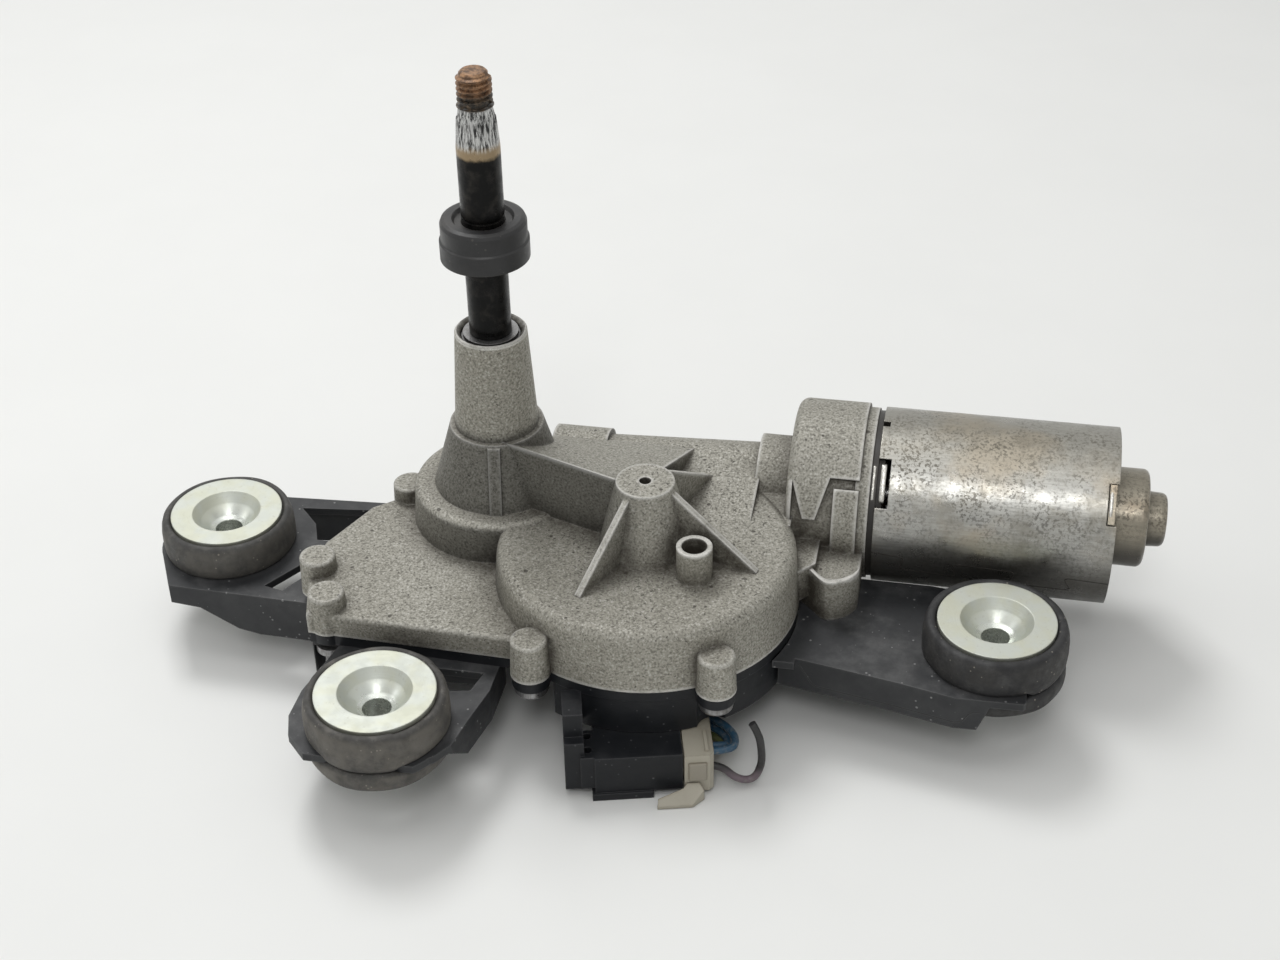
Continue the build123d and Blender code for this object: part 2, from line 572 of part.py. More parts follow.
    # Bores of the spindle, axle, worm and motor
    body -= disc(BUSH_R, FLANGE_Z - 1, TOWER_TOP + 1)
    body -= disc(SEAL_SEAT_R, TOWER_TOP - SEAL_SEAT_DEPTH, TOWER_TOP + 1)
    body -= tapered(SEAL_SEAT_R, SEAL_SEAT_R + MOUTH_CHAMFER, TOWER_TOP - MOUTH_CHAMFER, TOWER_TOP + 0.01)
    body -= disc(AXLE_R, ROUND_ROOF - 1, FLANGE_Z + AXLE_TOP, WHEEL_X, WHEEL_Y)
    body -= disc(HUB_HOLE_R, FLANGE_Z + AXLE_TOP - 1, HUB_TOP + 1, WHEEL_X, WHEEL_Y)
    body -= disc(TUBE_BOSS_BORE_R, ROUND_TOP + 0.5, FLANGE_Z + TUBE_BOSS_HEIGHT + 1, *TUBE_BOSS_AT)
    body -= lying(disc(END_BUSH_R, TUNNEL_END_X + WALL - 1, TUNNEL_END_X + TUNNEL_END_LENGTH))
    body -= lying(disc(TUNNEL_BORE_R, TUNNEL_END_X + WALL + END_BUSH_LENGTH, BLOCK_X))
    body -= lying(disc(BEARING_R, BLOCK_X - BEARING_WIDTH, BLOCK_X + 4))
    body -= lying(disc(BRUSH_CAVITY_R, BLOCK_X + WALL, RIM_END + 1))

    for x, y in BRACKET_SCREWS + COVER_SCREWS:
        body -= disc(SCREW_R, FLANGE_Z - 1, FLANGE_Z + SCREW_BITE, x, y)
    body -= disc(SCREW_R, COVER_BOTTOM - 1, COVER_BOTTOM + SCREW_BITE, foot_x, foot_y)
    return body


def base_cover():
    rim = prism(cover_outline(COVER_INSET), COVER_BOTTOM, FLANGE_Z)
    pan_face = round_face(PAN_R, WHEEL_X, WHEEL_Y) & (Pos(PAN_LEFT_X + 50, -60) * Rectangle(100, 92))
    pan_face_in = offset(pan_face, -COVER_SKIN, kind=Kind.INTERSECTION)
    for x, y in COVER_SCREWS:
        pan_face -= round_face(SCREW_HEAD_R + 0.4, x, y)
        pan_face_in -= round_face(SCREW_HEAD_R + 0.4 + COVER_SKIN, x, y)
    window = Pos(WELL_LEFT_X + 60, WELL_FRONT_Y + 40) * Rectangle(120, 80)
    well_face = (round_face(STEP_BORE_R) + round_face(WELL_R, WHEEL_X, WHEEL_Y)) & window
    well_face_in = offset(well_face, -COVER_SKIN, kind=Kind.INTERSECTION)

    cover = rim + prism(pan_face, PAN_BOTTOM, COVER_BOTTOM) + prism(well_face, 0, COVER_BOTTOM)
    cover += CONNECTOR * block(*RAIL_FRONT)
    cover += CONNECTOR * block(*RAIL_SIDE)
    cover -= prism(linkage_face(), POCKET_FLOOR, FLANGE_Z + 1)
    cover -= disc(STEP_BORE_R, POCKET_FLOOR, FLANGE_Z + 1)
    cover -= disc(ROUND_BORE_R - 3, POCKET_FLOOR, FLANGE_Z + 1, WHEEL_X, WHEEL_Y)
    cover -= prism(pan_face_in, PAN_BOTTOM + COVER_SKIN, FLANGE_Z + 1)
    cover -= prism(well_face_in, COVER_SKIN, FLANGE_Z + 1)
    for x, y in BRACKET_SCREWS + COVER_SCREWS:
        cover += disc(BOSS_R - 0.1, COVER_BOTTOM, FLANGE_Z, x, y)
        cover -= disc(SCREW_R, COVER_BOTTOM - 1, FLANGE_Z + 1, x, y)
    for x, y in board_posts():
        cover += disc(2.2, PAN_BOTTOM + 0.5, BOARD_Z, x, y)

    # Connector shell and the rail beside it
    cover += CONNECTOR * block(0, 0, SHELL_LIP, SHELL_LENGTH, SHELL_DEPTH, SHELL_TOP)
    cover += CONNECTOR * block(-0.7, -0.6, 0, SHELL_LENGTH - 6.8, SHELL_DEPTH, SHELL_LIP + 0.1)
    cover += CONNECTOR * block(0, SHELL_DEPTH - 1, 4.4, 11, SHELL_DEPTH + 6, PAN_BOTTOM + 0.5)
    cover += CONNECTOR * block(-3.2, 0.6, 8.8, 0.5, SHELL_DEPTH - 3, SHELL_TOP)
    cover += CONNECTOR * block(-3.2, 0.6, 3.0, 0.5, 5.0, 9.0)
    cover -= socket_hollow(0)
    cover -= lying(disc(TUNNEL_END_R + COVER_INSET, TUNNEL_END_X - COVER_INSET, NECK_X))
    cover -= lying(disc(BLOCK_R + COVER_INSET, BLOCK_X - COVER_INSET, RIM_END))
    for y in (8.0, 3.4):
        cover -= CONNECTOR * disc(1.0, SHELL_TOP - 2.5, SHELL_TOP + 1, -1.4, y)
    cover -= connector_pins()
    cover -= gasket()
    return cover


def board_posts():
    """Places of the three posts under the circuit board."""
    return ((WHEEL_X - 9, WHEEL_Y - 3), (WHEEL_X + 22, WHEEL_Y - 15), (WHEEL_X - 4, WHEEL_Y - 28))


def gasket():
    """Thin rubber cord in the joint, inside the cover's rim."""
    cord = prism(joint_outline(GASKET_INSET), FLANGE_Z - GASKET_HEIGHT, FLANGE_Z)
    cord -= prism(joint_outline(GASKET_INSET + GASKET_WIDTH), FLANGE_Z - 2, FLANGE_Z + 1)
    for x, y in BRACKET_SCREWS + COVER_SCREWS:
        cord -= disc(SCREW_R + 0.1, FLANGE_Z - 2, FLANGE_Z + 1, x, y)
    return cord - lying(disc(BLOCK_R + COVER_INSET, BLOCK_X - COVER_INSET, RIM_END))


def socket_hollow(play):
    """Room in the shell for the plug's nose, smaller by the play on every side."""
    x0 = SHELL_LENGTH - SOCKET_DEPTH + play
    return CONNECTOR * block(x0, SHELL_WALL + play, SHELL_LIP + SHELL_WALL + play, SHELL_LENGTH + 2,
                             SHELL_DEPTH - 1 - SHELL_WALL - play, SHELL_TOP - SHELL_WALL - play)


def connector_pins():
    """Bent pins from the socket back under the pan and up into the circuit board."""
    pins = []
    mid = (SHELL_LIP + SHELL_TOP) / 2
    for i in range(PIN_COUNT):
        x = 1.2 + i * PIN_PITCH
        y = 2.8 + i * PIN_PITCH
        back = SHELL_DEPTH + 2.5
        pin = block(x, y, mid, SHELL_LENGTH - 5, y + PIN_SIZE, mid + PIN_SIZE)
        pin += block(x, y, mid, x + PIN_SIZE, back, mid + PIN_SIZE)
        pin += block(x, back - PIN_SIZE, mid, x + PIN_SIZE, back, BOARD_Z + BOARD_THICKNESS + 0.6)
        pins.append(CONNECTOR * pin)
    return pins


def below_skirt(underside, turn, name):
    """Space under an arm, whose skirt grows shallower towards its damper."""
    x, y = DAMPERS[name]
    points = [(along, COVER_BOTTOM - depth) for along, depth in underside]
    points += [(underside[-1][0], -1), (underside[0][0], -1)]
    return upright(points, 0 if turn == 0 else x, y if turn == 0 else 0, turn, 90)


def mounting_bracket():
    top = COVER_BOTTOM
    arms = ((ARM_A_OUTLINE, "a", ARM_A_SKIRT), (ARM_B_OUTLINE, "b", ARM_B_SKIRT), (ARM_C_OUTLINE, "c", ARM_C_SKIRT))
    plate = None
    for points, name, skirt in arms:
        face = outline(points) + round_face(PAD_R, *DAMPERS[name])
        inner = offset(outline(points), -BRACKET_WALL, kind=Kind.INTERSECTION)
        inner += round_face(PAD_R - BRACKET_WALL, *DAMPERS[name])
        if name == "b":
            face -= Pos(-11.8, -94.5) * Rectangle(60, 20)
            inner -= Pos(-11.8, -94.5 + BRACKET_WALL) * Rectangle(60, 20)
        if name == "c":
            face -= Pos(ARM_C_END + 20, DAMPERS["c"][1]) * Rectangle(40, 60)
        arm = prism(face, top - skirt, top) - prism(inner, top - skirt - 1, BRACKET_BOTTOM)
        plate = arm if plate is None else plate + arm
    plate += prism(outline(SPINE_OUTLINE), BRACKET_BOTTOM, top)
    for x, y, length, depth in FEET:
        plate += block(x, y, 0, x + length, y + depth, top - 0.5) - block(x + 2, y + 2, 2, x + length - 2,
                                                                          y + depth - 2, BRACKET_BOTTOM)

    # Undersides of the arms
    plate -= below_skirt(ARM_A_UNDERSIDE, 0, "a")
    plate -= below_skirt(ARM_B_UNDERSIDE, 90, "b")
    plate -= below_skirt(ARM_C_UNDERSIDE, 0, "c")

    # Room for the cover's pan and well, the housing foot and the motor
    clear = 0.5
    window = Pos(PAN_LEFT_X + 50 - clear, -60) * Rectangle(100, 92)
    plate -= prism(round_face(PAN_R + clear, WHEEL_X, WHEEL_Y) & window, -1, top + 1)
    plate -= disc(WELL_R + clear, -1, top + 1, WHEEL_X, WHEEL_Y)
    plate -= disc(STEP_BORE_R + clear, -1, top + 1)
    plate -= lying(disc(BLOCK_R + clear, BLOCK_X - clear, CAN_END))
    plate -= lying(disc(NECK_R + clear, NECK_X - clear, BLOCK_X + 1))
    for x, y in COVER_SCREWS:
        plate -= disc(SCREW_HEAD_R + 1.0, -1, top + 1, x, y)

    # Windows, damper eyes and screw holes
    for points in ARM_A_WINDOWS + ARM_B_WINDOWS:
        plate -= prism(outline(points), -1, top + 1)
    for x, y in DAMPERS.values():
        plate += disc(RUBBER_NECK_R + 2.5, BRACKET_BOTTOM, top, x, y)
        plate -= disc(RUBBER_NECK_R, -1, top + 1, x, y)
        plate -= disc(RUBBER_R + 0.4, -1, BRACKET_BOTTOM, x, y)
    for x, y in BRACKET_SCREWS + (FOOT_SCREW_AT,):
        plate -= disc(SCREW_R, -1, top + 1, x, y)
        plate -= disc(SCREW_HEAD_R + 0.5, -1, BRACKET_BOTTOM, x, y)
    return plate


def cover_screws():
    """Five pan-head screws from below."""
    places = [(at, BRACKET_BOTTOM, FLANGE_Z + SCREW_BITE - 1) for at in BRACKET_SCREWS]
    places += [(at, COVER_BOTTOM, FLANGE_Z + SCREW_BITE - 1) for at in COVER_SCREWS]
    places.append((FOOT_SCREW_AT, BRACKET_BOTTOM, COVER_BOTTOM + SCREW_BITE - 1))
    screws = []
    for (x, y), seat, tip in places:
        head = disc(SCREW_HEAD_R, seat - SCREW_HEAD_HEIGHT, seat, x, y)
        head = fillet(head.edges().group_by(Axis.Z)[0], 0.8)
        screw = head + disc(SCREW_R, seat, tip, x, y)
        screws.append(screw - disc(1.6, seat - SCREW_HEAD_HEIGHT - 1, seat - 0.9, x, y))
    return screws


def rubber_damper(x, y):
    sleeve_r = SLEEVE_BORE_R + SLEEVE_WALL
    seat = CUP_TOP - CUP_WASHER_THICKNESS
    lip = CUP_WASHER_R + 0.3
    body = turned([(sleeve_r, RUBBER_BOTTOM), (RUBBER_R - 0.8, RUBBER_BOTTOM), (RUBBER_R, RUBBER_BOTTOM + 0.8),
                   (RUBBER_R, BRACKET_BOTTOM), (RUBBER_NECK_R, BRACKET_BOTTOM), (RUBBER_NECK_R, DAMPER_SLOT_TOP),
                   (RUBBER_R, DAMPER_SLOT_TOP), (RUBBER_R, RUBBER_TOP - RUBBER_EDGE),
                   (RUBBER_R - RUBBER_EDGE, RUBBER_TOP), (lip, RUBBER_TOP), (lip, seat), (CUP_R + 0.8, seat),
                   (CUP_R - 0.6, seat - 2.2), (sleeve_r + 0.9, seat - CUP_DEPTH), (sleeve_r, seat - CUP_DEPTH)])
    return Pos(x, y, 0) * body


def damper_sleeve(x, y):
    sleeve_r = SLEEVE_BORE_R + SLEEVE_WALL
    seat = CUP_TOP - CUP_WASHER_THICKNESS
    foot = RUBBER_BOTTOM - SLEEVE_FOOT
    body = turned([(SLEEVE_BORE_R, foot), (SLEEVE_FOOT_R, foot), (SLEEVE_FOOT_R, RUBBER_BOTTOM),
                   (sleeve_r, RUBBER_BOTTOM), (sleeve_r, seat - CUP_DEPTH), (sleeve_r + 0.9, seat - CUP_DEPTH),
                   (CUP_R - 0.6, seat - 2.2), (CUP_R + 0.8, seat), (CUP_WASHER_R, seat), (CUP_WASHER_R, CUP_TOP),
                   (CUP_R, CUP_TOP), (CUP_R - 1.8, seat - 1.2), (SLEEVE_BORE_R + 1.2, CUP_TOP - CUP_DEPTH),
                   (SLEEVE_BORE_R, CUP_TOP - CUP_DEPTH - 0.6)])
    return Pos(x, y, 0) * body


def output_spindle():
    thread_z = SPINDLE_TOP - THREAD_LENGTH
    knurl_z = thread_z - KNURL_LENGTH
    root_r = THREAD_R - THREAD_DEPTH
    clip_z = TOWER_TOP - SEAL_SEAT_DEPTH + SEAL_HEIGHT + WASHER_HEIGHT + 0.1
    body = disc(PINION_SEAT_R, LINK_BOTTOM, SECTOR_TOP)
    body += disc(SPINDLE_R, SECTOR_TOP, knurl_z)
    body -= ring(SPINDLE_R + 1, SPINDLE_R - CIRCLIP_GROOVE, clip_z, clip_z + CIRCLIP_HEIGHT)
    groove_z = COLLAR_TOP + SHAFT_GROOVE_GAP
    body -= ring(SPINDLE_R + 1, SPINDLE_R - SHAFT_GROOVE_DEPTH, groove_z, groove_z + SHAFT_GROOVE_WIDTH)
    knurl = tapered(SPINDLE_R, THREAD_R + 0.2, knurl_z, thread_z)
    groove = tapered(0.01, KNURL_DEPTH * 1.6, 0, KNURL_LENGTH * 0.92)
    for i in range(KNURL_TEETH):
        x, y = polar(SPINDLE_R - 0.1, i * 360 / KNURL_TEETH)
        lean = degrees(atan2(SPINDLE_R - THREAD_R - 0.2, KNURL_LENGTH))
        knurl -= Pos(x, y, knurl_z + 0.8) * Rot(0, 0, i * 360 / KNURL_TEETH) * Rot(0, -lean, 0) * groove
    body += knurl
    body += disc(root_r, thread_z - 0.01, SPINDLE_TOP - 0.5) + tapered(root_r, root_r - 0.5, SPINDLE_TOP - 0.5,
                                                                       SPINDLE_TOP)
    turns = int((THREAD_LENGTH - 1.0) / THREAD_PITCH)
    path = Helix(THREAD_PITCH, turns * THREAD_PITCH, root_r, center=(0, 0, thread_z + 0.75))
    profile = Plane(origin=path @ 0, z_dir=path % 0, x_dir=(1, 0, 0)) * Polygon(
        (-0.1, -0.52), (THREAD_DEPTH, -0.08), (THREAD_DEPTH, 0.08), (-0.1, 0.52), align=None)
    body += sweep(profile, path, is_frenet=True)
    return body


def seal_collar():
    z0 = TOWER_TOP + COLLAR_GAP
    z1 = COLLAR_TOP
    bore = SPINDLE_R + RUNNING
    under = COLLAR_R - 2.2
    return turned([(bore, z0 + COLLAR_UNDERCUT), (under, z0 + COLLAR_UNDERCUT), (under + 0.6, z0), (COLLAR_BAND_R, z0),
                   (COLLAR_BAND_R, z0 + COLLAR_BAND_HEIGHT), (COLLAR_R, z0 + COLLAR_BAND_HEIGHT + 0.4),
                   (COLLAR_R, z1 - COLLAR_EDGE), (COLLAR_R - COLLAR_EDGE * 0.3, z1 - COLLAR_EDGE * 0.3),
                   (COLLAR_R - COLLAR_EDGE, z1), (SPINDLE_R + 2.2, z1), (SPINDLE_R + 1.6, z1 - 1.0),
                   (bore, z1 - 1.0)])


def drive_pinion():
    pinion = outline(toothed(PINION_TEETH, LINK_MODULE, LINK_ADDENDUM, LINK_DEDENDUM, LINK_BACKLASH, LINK_REST,
                             PINION_TEETH))
    return prism(pinion, SECTOR_BOTTOM, SECTOR_TOP) - disc(PINION_SEAT_R, SECTOR_BOTTOM - 1, SECTOR_TOP + 1)


def link_plate():
    x, y = SECTOR_AT
    half = LINK_END_R - 0.6
    bar = Pos(x / 2, y / 2) * Rot(0, 0, LINK_REST) * Rectangle(LINK_LENGTH, 2 * half)
    face = bar + round_face(LINK_END_R) + round_face(LINK_END_R, x, y)
    plate = prism(face, LINK_BOTTOM, LINK_TOP)
    plate -= disc(PINION_SEAT_R + RUNNING, 0, FLANGE_Z + 9)
    return plate - disc(SECTOR_PIN_R, 0, FLANGE_Z + 9, x, y)


def sector_arm():
    """Toothed arm about the sector pin, its other end an eye under the crank pin."""
    x, y = SECTOR_AT
    pitch = 360.0 / SECTOR_TEETH
    mesh = LINK_REST + 180
    gap_before = int((SECTOR_MARGIN / pitch)) + 1
    first = mesh - (gap_before - 0.5) * pitch
    count = gap_before + int((abs(ARM_SWING) + SECTOR_MARGIN) / pitch) + 1
    teeth = toothed(SECTOR_TEETH, LINK_MODULE, LINK_ADDENDUM, LINK_DEDENDUM, LINK_BACKLASH, first, count)
    face = Pos(x, y) * outline([(0, 0)] + teeth)
    face += round_face(LINK_END_R, x, y)
    mid_x, mid_y = polar(ARM_LENGTH / 2, ARM_REST, x, y)
    face += Pos(mid_x, mid_y) * Rot(0, 0, ARM_REST) * Rectangle(ARM_LENGTH, 2 * LINK_END_R - 2.4)
    face += round_face(LINK_END_R, *CRANK_AT)
    arm = prism(face, SECTOR_BOTTOM, SECTOR_TOP)
    arm -= disc(SECTOR_PIN_R + RUNNING, 0, FLANGE_Z + 9, x, y)
    return arm - disc(CRANK_PIN_R + RUNNING, 0, FLANGE_Z + 9, *CRANK_AT)


def worm_wheel():
    """Toothed wheel with gaps leaning at the worm's lead angle."""
    tip_r = WHEEL_PITCH_R + WORM_DEDENDUM - GEAR_BACKLASH * 0.6
    bottom_r = WHEEL_PITCH_R - WORM_ADDENDUM - END_PLAY
    lead = degrees(atan2(WORM_PITCH / (2 * pi), WORM_PITCH_R))
    wheel = disc(tip_r, WHEEL_BOTTOM, WHEEL_TOP) - ring(tip_r - 1 - WHEEL_RIM, WHEEL_HUB_R, WEB_TOP, WHEEL_TOP + 1)
    wheel -= ring(tip_r - 1 - WHEEL_RIM, WHEEL_HUB_R, WHEEL_BOTTOM - 1, WEB_BOTTOM)
    wheel += disc(WHEEL_HUB_R, HUB_BOTTOM, ROUND_ROOF - END_PLAY)
    pitch_half = WORM_PITCH * 0.22 + GEAR_BACKLASH / 2
    slope = tan(radians(17))
    inner = pitch_half - slope * (WHEEL_PITCH_R - bottom_r)
    outer = pitch_half + slope * (tip_r + 0.5 - WHEEL_PITCH_R)
    gap_face = outline([(bottom_r, -inner), (tip_r + 0.5, -outer), (tip_r + 0.5, outer), (bottom_r, inner)])
    gap = extrude(gap_face, WHEEL_WIDTH, both=True)
    gap = Rot(-lead, 0, 0) * gap
    gaps = [Pos(0, 0, WHEEL_MID) * Rot(0, 0, 90 + i * 360 / WHEEL_TEETH) * gap for i in range(WHEEL_TEETH)]
    wheel -= gaps
    wheel = Pos(WHEEL_X, WHEEL_Y, 0) * wheel
    wheel -= disc(AXLE_R + RUNNING, 0, TOWER_TOP, WHEEL_X, WHEEL_Y)
    return wheel - disc(CRANK_PIN_R, 0, TOWER_TOP, *CRANK_AT)


def crank_pin():
    return disc(CRANK_PIN_R, SECTOR_TOP + END_PLAY, WEB_TOP, *CRANK_AT)


def park_disc():
    """Copper ring under the wheel with a gap that marks the parked place."""
    r_in, r_out = PARK_DISC_R[0], PARK_DISC_R[1] - 1
    plate = ring(r_out, r_in, WEB_BOTTOM - PARK_DISC_HEIGHT, WEB_BOTTOM, WHEEL_X, WHEEL_Y)
    notch = upright([(r_in + 4, 0), (r_out + 2, 0), (r_out + 2, TOWER_TOP), (r_in + 4, TOWER_TOP)], WHEEL_X, WHEEL_Y,
                    120, 12)
    return plate - notch


def wheel_axle():
    axle = disc(AXLE_R, HUB_BOTTOM - 1.5, FLANGE_Z + AXLE_TOP, WHEEL_X, WHEEL_Y)
    return axle - ring(AXLE_R + 1, AXLE_R - 0.4, HUB_BOTTOM - 1.0, HUB_BOTTOM - 0.2, WHEEL_X, WHEEL_Y)


def axle_clip():
    return ring(AXLE_CLIP_R, AXLE_R - 0.4, HUB_BOTTOM - 1.0, HUB_BOTTOM - 0.2, WHEEL_X, WHEEL_Y)


def armature_shaft():
    """Shaft with the worm rolled on it."""
    x0 = TUNNEL_END_X + WALL + 1.0
    shaft = disc(SHAFT_R, x0, CAP_END - CAP_WALL - 0.6)
    start, end = WORM_START_X, WORM_START_X + WORM_LENGTH
    shaft += disc(WORM_CORE_R, start - 1.5, end + 1.5)
    turns = int(WORM_LENGTH / WORM_PITCH)
    # A crest faces the wheel where the wheel has a gap, at the wheel's own x
    steps = int((WHEEL_X - start) / WORM_PITCH)
    first = WHEEL_X - steps * WORM_PITCH
    path = Helix(WORM_PITCH, turns * WORM_PITCH, WORM_CORE_R, center=(0, 0, first - 0.5))
    half_root = WORM_PITCH * 0.22 + tan(radians(17)) * WORM_DEDENDUM
    half_tip = WORM_PITCH * 0.22 - tan(radians(17)) * WORM_ADDENDUM
    height = WORM_ADDENDUM + WORM_DEDENDUM
    profile = Plane(origin=path @ 0, z_dir=path % 0, x_dir=(1, 0, 0)) * Polygon(
        (-0.2, -half_root), (height, -half_tip), (height, half_tip), (-0.2, half_root), align=None)
    thread = Pos(0, 0, 0.5) * sweep(profile, path, is_frenet=True)
    # The helix starts on local +X; turn it to face the wheel, which lies at -Y of the shaft
    return lying(Rot(0, 0, WORM_PHASE) * thread + shaft)


def armature_core():
    core = disc(CORE_R, CORE_X, CORE_X + CORE_LENGTH) - disc(SHAFT_R, CORE_X - 1, CORE_X + CORE_LENGTH + 1)
    slot_r = CORE_R - SLOT_MOUTH
    slot = block(slot_r - SLOT_DEPTH, -SLOT_WIDTH / 2, CORE_X - 1, slot_r, SLOT_WIDTH / 2, CORE_X + CORE_LENGTH + 1)
    slot += block(slot_r - 1, -0.8, CORE_X - 1, CORE_R + 1, 0.8, CORE_X + CORE_LENGTH + 1)
    core -= [Rot(0, 0, i * 360 / CORE_SLOTS) * slot for i in range(CORE_SLOTS)]
    return lying(core)


def armature_windings():
    """Copper in the slots joined by the end turns."""
    slot_r = CORE_R - SLOT_MOUTH
    copper = None
    for z0 in (CORE_X - WINDING_LENGTH, CORE_X + CORE_LENGTH):
        end = ring(WINDING_R[1], WINDING_R[0], z0, z0 + WINDING_LENGTH)
        edge = end.edges().filter_by(GeomType.CIRCLE).sort_by(lambda e: e.radius)[-2:]
        end = fillet(edge, 1.6)
        copper = end if copper is None else copper + end
    play = 0.15
    bar = block(slot_r - SLOT_DEPTH + play, -SLOT_WIDTH / 2 + play, CORE_X - 0.6, slot_r - play, SLOT_WIDTH / 2 - play,
                CORE_X + CORE_LENGTH + 0.6)
    for i in range(CORE_SLOTS):
        copper += Rot(0, 0, i * 360 / CORE_SLOTS) * bar
    return lying(copper)


def commutator():
    x1 = COMMUTATOR_X + COMMUTATOR_LENGTH
    drum = disc(COMMUTATOR_R, COMMUTATOR_X, x1) - disc(SHAFT_R, COMMUTATOR_X - 1, x1 + 1)
    slit = block(COMMUTATOR_R - 0.8, -COMMUTATOR_SLIT / 2, COMMUTATOR_X - 1, COMMUTATOR_R + 1, COMMUTATOR_SLIT / 2,
                 x1 - 1.2)
    return lying(drum - [Rot(0, 0, i * 360 / CORE_SLOTS) * slit for i in range(CORE_SLOTS)])


def motor_can():
    can = ring(CAN_R, CAN_BORE_R, CAN_X, CAN_END)
    # Notches of the rolled sheet at both ends
    for angle in CAP_TAB_ANGLES:
        can -= Rot(0, 0, angle) * block(CAN_R - 4, -CAP_TAB_WIDTH / 2, CAN_END - CAP_NOTCH, CAN_R + 2, CAP_TAB_WIDTH / 2,
                                        CAN_END + 1)
        can -= Rot(0, 0, angle) * block(CAN_R - 4, -CLIP_NOTCH[1] / 2, CAN_X - 1, CAN_R + 2, CLIP_NOTCH[1] / 2,
                                        CAN_X + CLIP_NOTCH[0])
    can -= Rot(0, 0, 183) * block(CAN_R - 4, -1, CAN_X - 1, CAN_R + 2, 1, CAN_X + 1.7)
    return lying(can)


def end_cap():
    cap = disc(CAN_BORE_R, CAP_X, CAP_FACE)
    for angle in CAP_TAB_ANGLES:
        cap += Rot(0, 0, angle) * block(CAN_BORE_R - 3, 0.2 - CAP_TAB_WIDTH / 2, CAP_X + 0.3, CAN_R - 0.2,
                                        CAP_TAB_WIDTH / 2 - 0.2, CAP_FACE)
    boss_0 = disc(CAP_BOSS_R[0], CAP_X, CAP_STEP)
    boss_1 = tapered(CAP_BOSS_R[1], CAP_BOSS_R[1] - 0.9, CAP_X, CAP_END)
    cap += fillet(boss_0.edges().group_by(Axis.Z)[-1], 1.5)
    cap += fillet(boss_1.edges().group_by(Axis.Z)[-1], 1.5)
    cap -= disc(CAP_BOSS_R[0] - CAP_WALL, CAP_X - 1, CAP_STEP - CAP_WALL)
    cap -= disc(END_BUSH_R, CAP_X - 1, CAP_END - CAP_WALL)
    return lying(cap)


def magnets():
    """Two arc magnets, facing each other across the armature."""
    x0 = CORE_X + (CORE_LENGTH - MAGNET_LENGTH) / 2
    shell = ring(CAN_BORE_R, CAN_BORE_R - MAGNET_THICKNESS, x0, x0 + MAGNET_LENGTH)
    found = []
    for side in (0, 180):
        edge = polar(60, side + MAGNET_SPAN / 2)
        other = polar(60, side - MAGNET_SPAN / 2)
        sector = prism(outline([(0, 0), other, polar(60, side), edge]), x0 - 1, x0 + MAGNET_LENGTH + 1)
        found.append(lying(shell & sector))
    return found


def brush_plate():
    plate = disc(BRUSH_RIM_R, RIM_END, CAN_X) + disc(CAN_BORE_R - 0.1, RIM_END, CAN_X + 1.5)
    plate -= disc(COMMUTATOR_R + 2.5, RIM_END - 1, CAN_X + 3)
    for side in (90, 270):
        holder = block(COMMUTATOR_R + 1.5, -BRUSH_WIDTH / 2 - 1.2, brush_x() - 1.2, BRUSH_CAVITY_R - 1.0,
                       BRUSH_WIDTH / 2 + 1.2, RIM_END + 0.5)
        holder -= block(COMMUTATOR_R, -BRUSH_WIDTH / 2, brush_x(), BRUSH_CAVITY_R - 2.0, BRUSH_WIDTH / 2,
                        brush_x() + BRUSH_WIDTH)
        plate += Rot(0, 0, side) * holder
    return lying(plate)


def brush_x():
    """Where the brushes begin along the motor axis."""
    return COMMUTATOR_X + 1.8


def carbon_brushes():
    brush = block(COMMUTATOR_R + 0.1, -BRUSH_WIDTH / 2 + 0.1, brush_x() + 0.1, COMMUTATOR_R + 0.1 + BRUSH_LENGTH,
                  BRUSH_WIDTH / 2 - 0.1, brush_x() + BRUSH_WIDTH - 0.1)
    brush -= Pos(0, 0, brush_x() + BRUSH_WIDTH / 2) * Rot(90, 0, 0) * Cylinder(COMMUTATOR_R + 0.1, 0.1)
    return [lying(Rot(0, 0, side) * brush) for side in (90, 270)]


def brush_springs():
    """Coil springs that press the brushes."""
    r0 = COMMUTATOR_R + BRUSH_LENGTH + 0.3 + SPRING_WIRE_R
    r1 = BRUSH_CAVITY_R - 2.2 - SPRING_WIRE_R
    path = Helix((r1 - r0) / SPRING_TURNS, r1 - r0, SPRING_R)
    wire = sweep(Plane(origin=path @ 0, z_dir=path % 0) * Circle(SPRING_WIRE_R), path, is_frenet=True)
    spring = Pos(r0, 0, brush_x() + BRUSH_WIDTH / 2) * Rot(0, 90, 0) * wire
    return [lying(Rot(0, 0, side) * spring) for side in (90, 270)]


def circuit_board():
    face = round_face(PAN_R - COVER_SKIN - 0.6, WHEEL_X, WHEEL_Y)
    face &= Pos(PAN_LEFT_X + COVER_SKIN + 0.6 + 50, -60) * Rectangle(100, 86)
    for x, y in COVER_SCREWS:
        face -= round_face(SCREW_HEAD_R + 1.0 + COVER_SKIN, x, y)
    board = prism(face, BOARD_Z, BOARD_Z + BOARD_THICKNESS)
    return board - connector_pins()


def board_components():
    """Relay, capacitor and suppression coil soldered on the board."""
    z0 = BOARD_Z + BOARD_THICKNESS
    relay = block(WHEEL_X + 16, WHEEL_Y - 18, z0, WHEEL_X + 24, WHEEL_Y - 11, z0 + 4.6)
    capacitor = disc(3.2, z0, z0 + 4.5, WHEEL_X + 26, WHEEL_Y - 5)
    coil = disc(2.6, z0, z0 + 4.0, WHEEL_X - 9, WHEEL_Y - 11)
    return [relay, capacitor, coil]


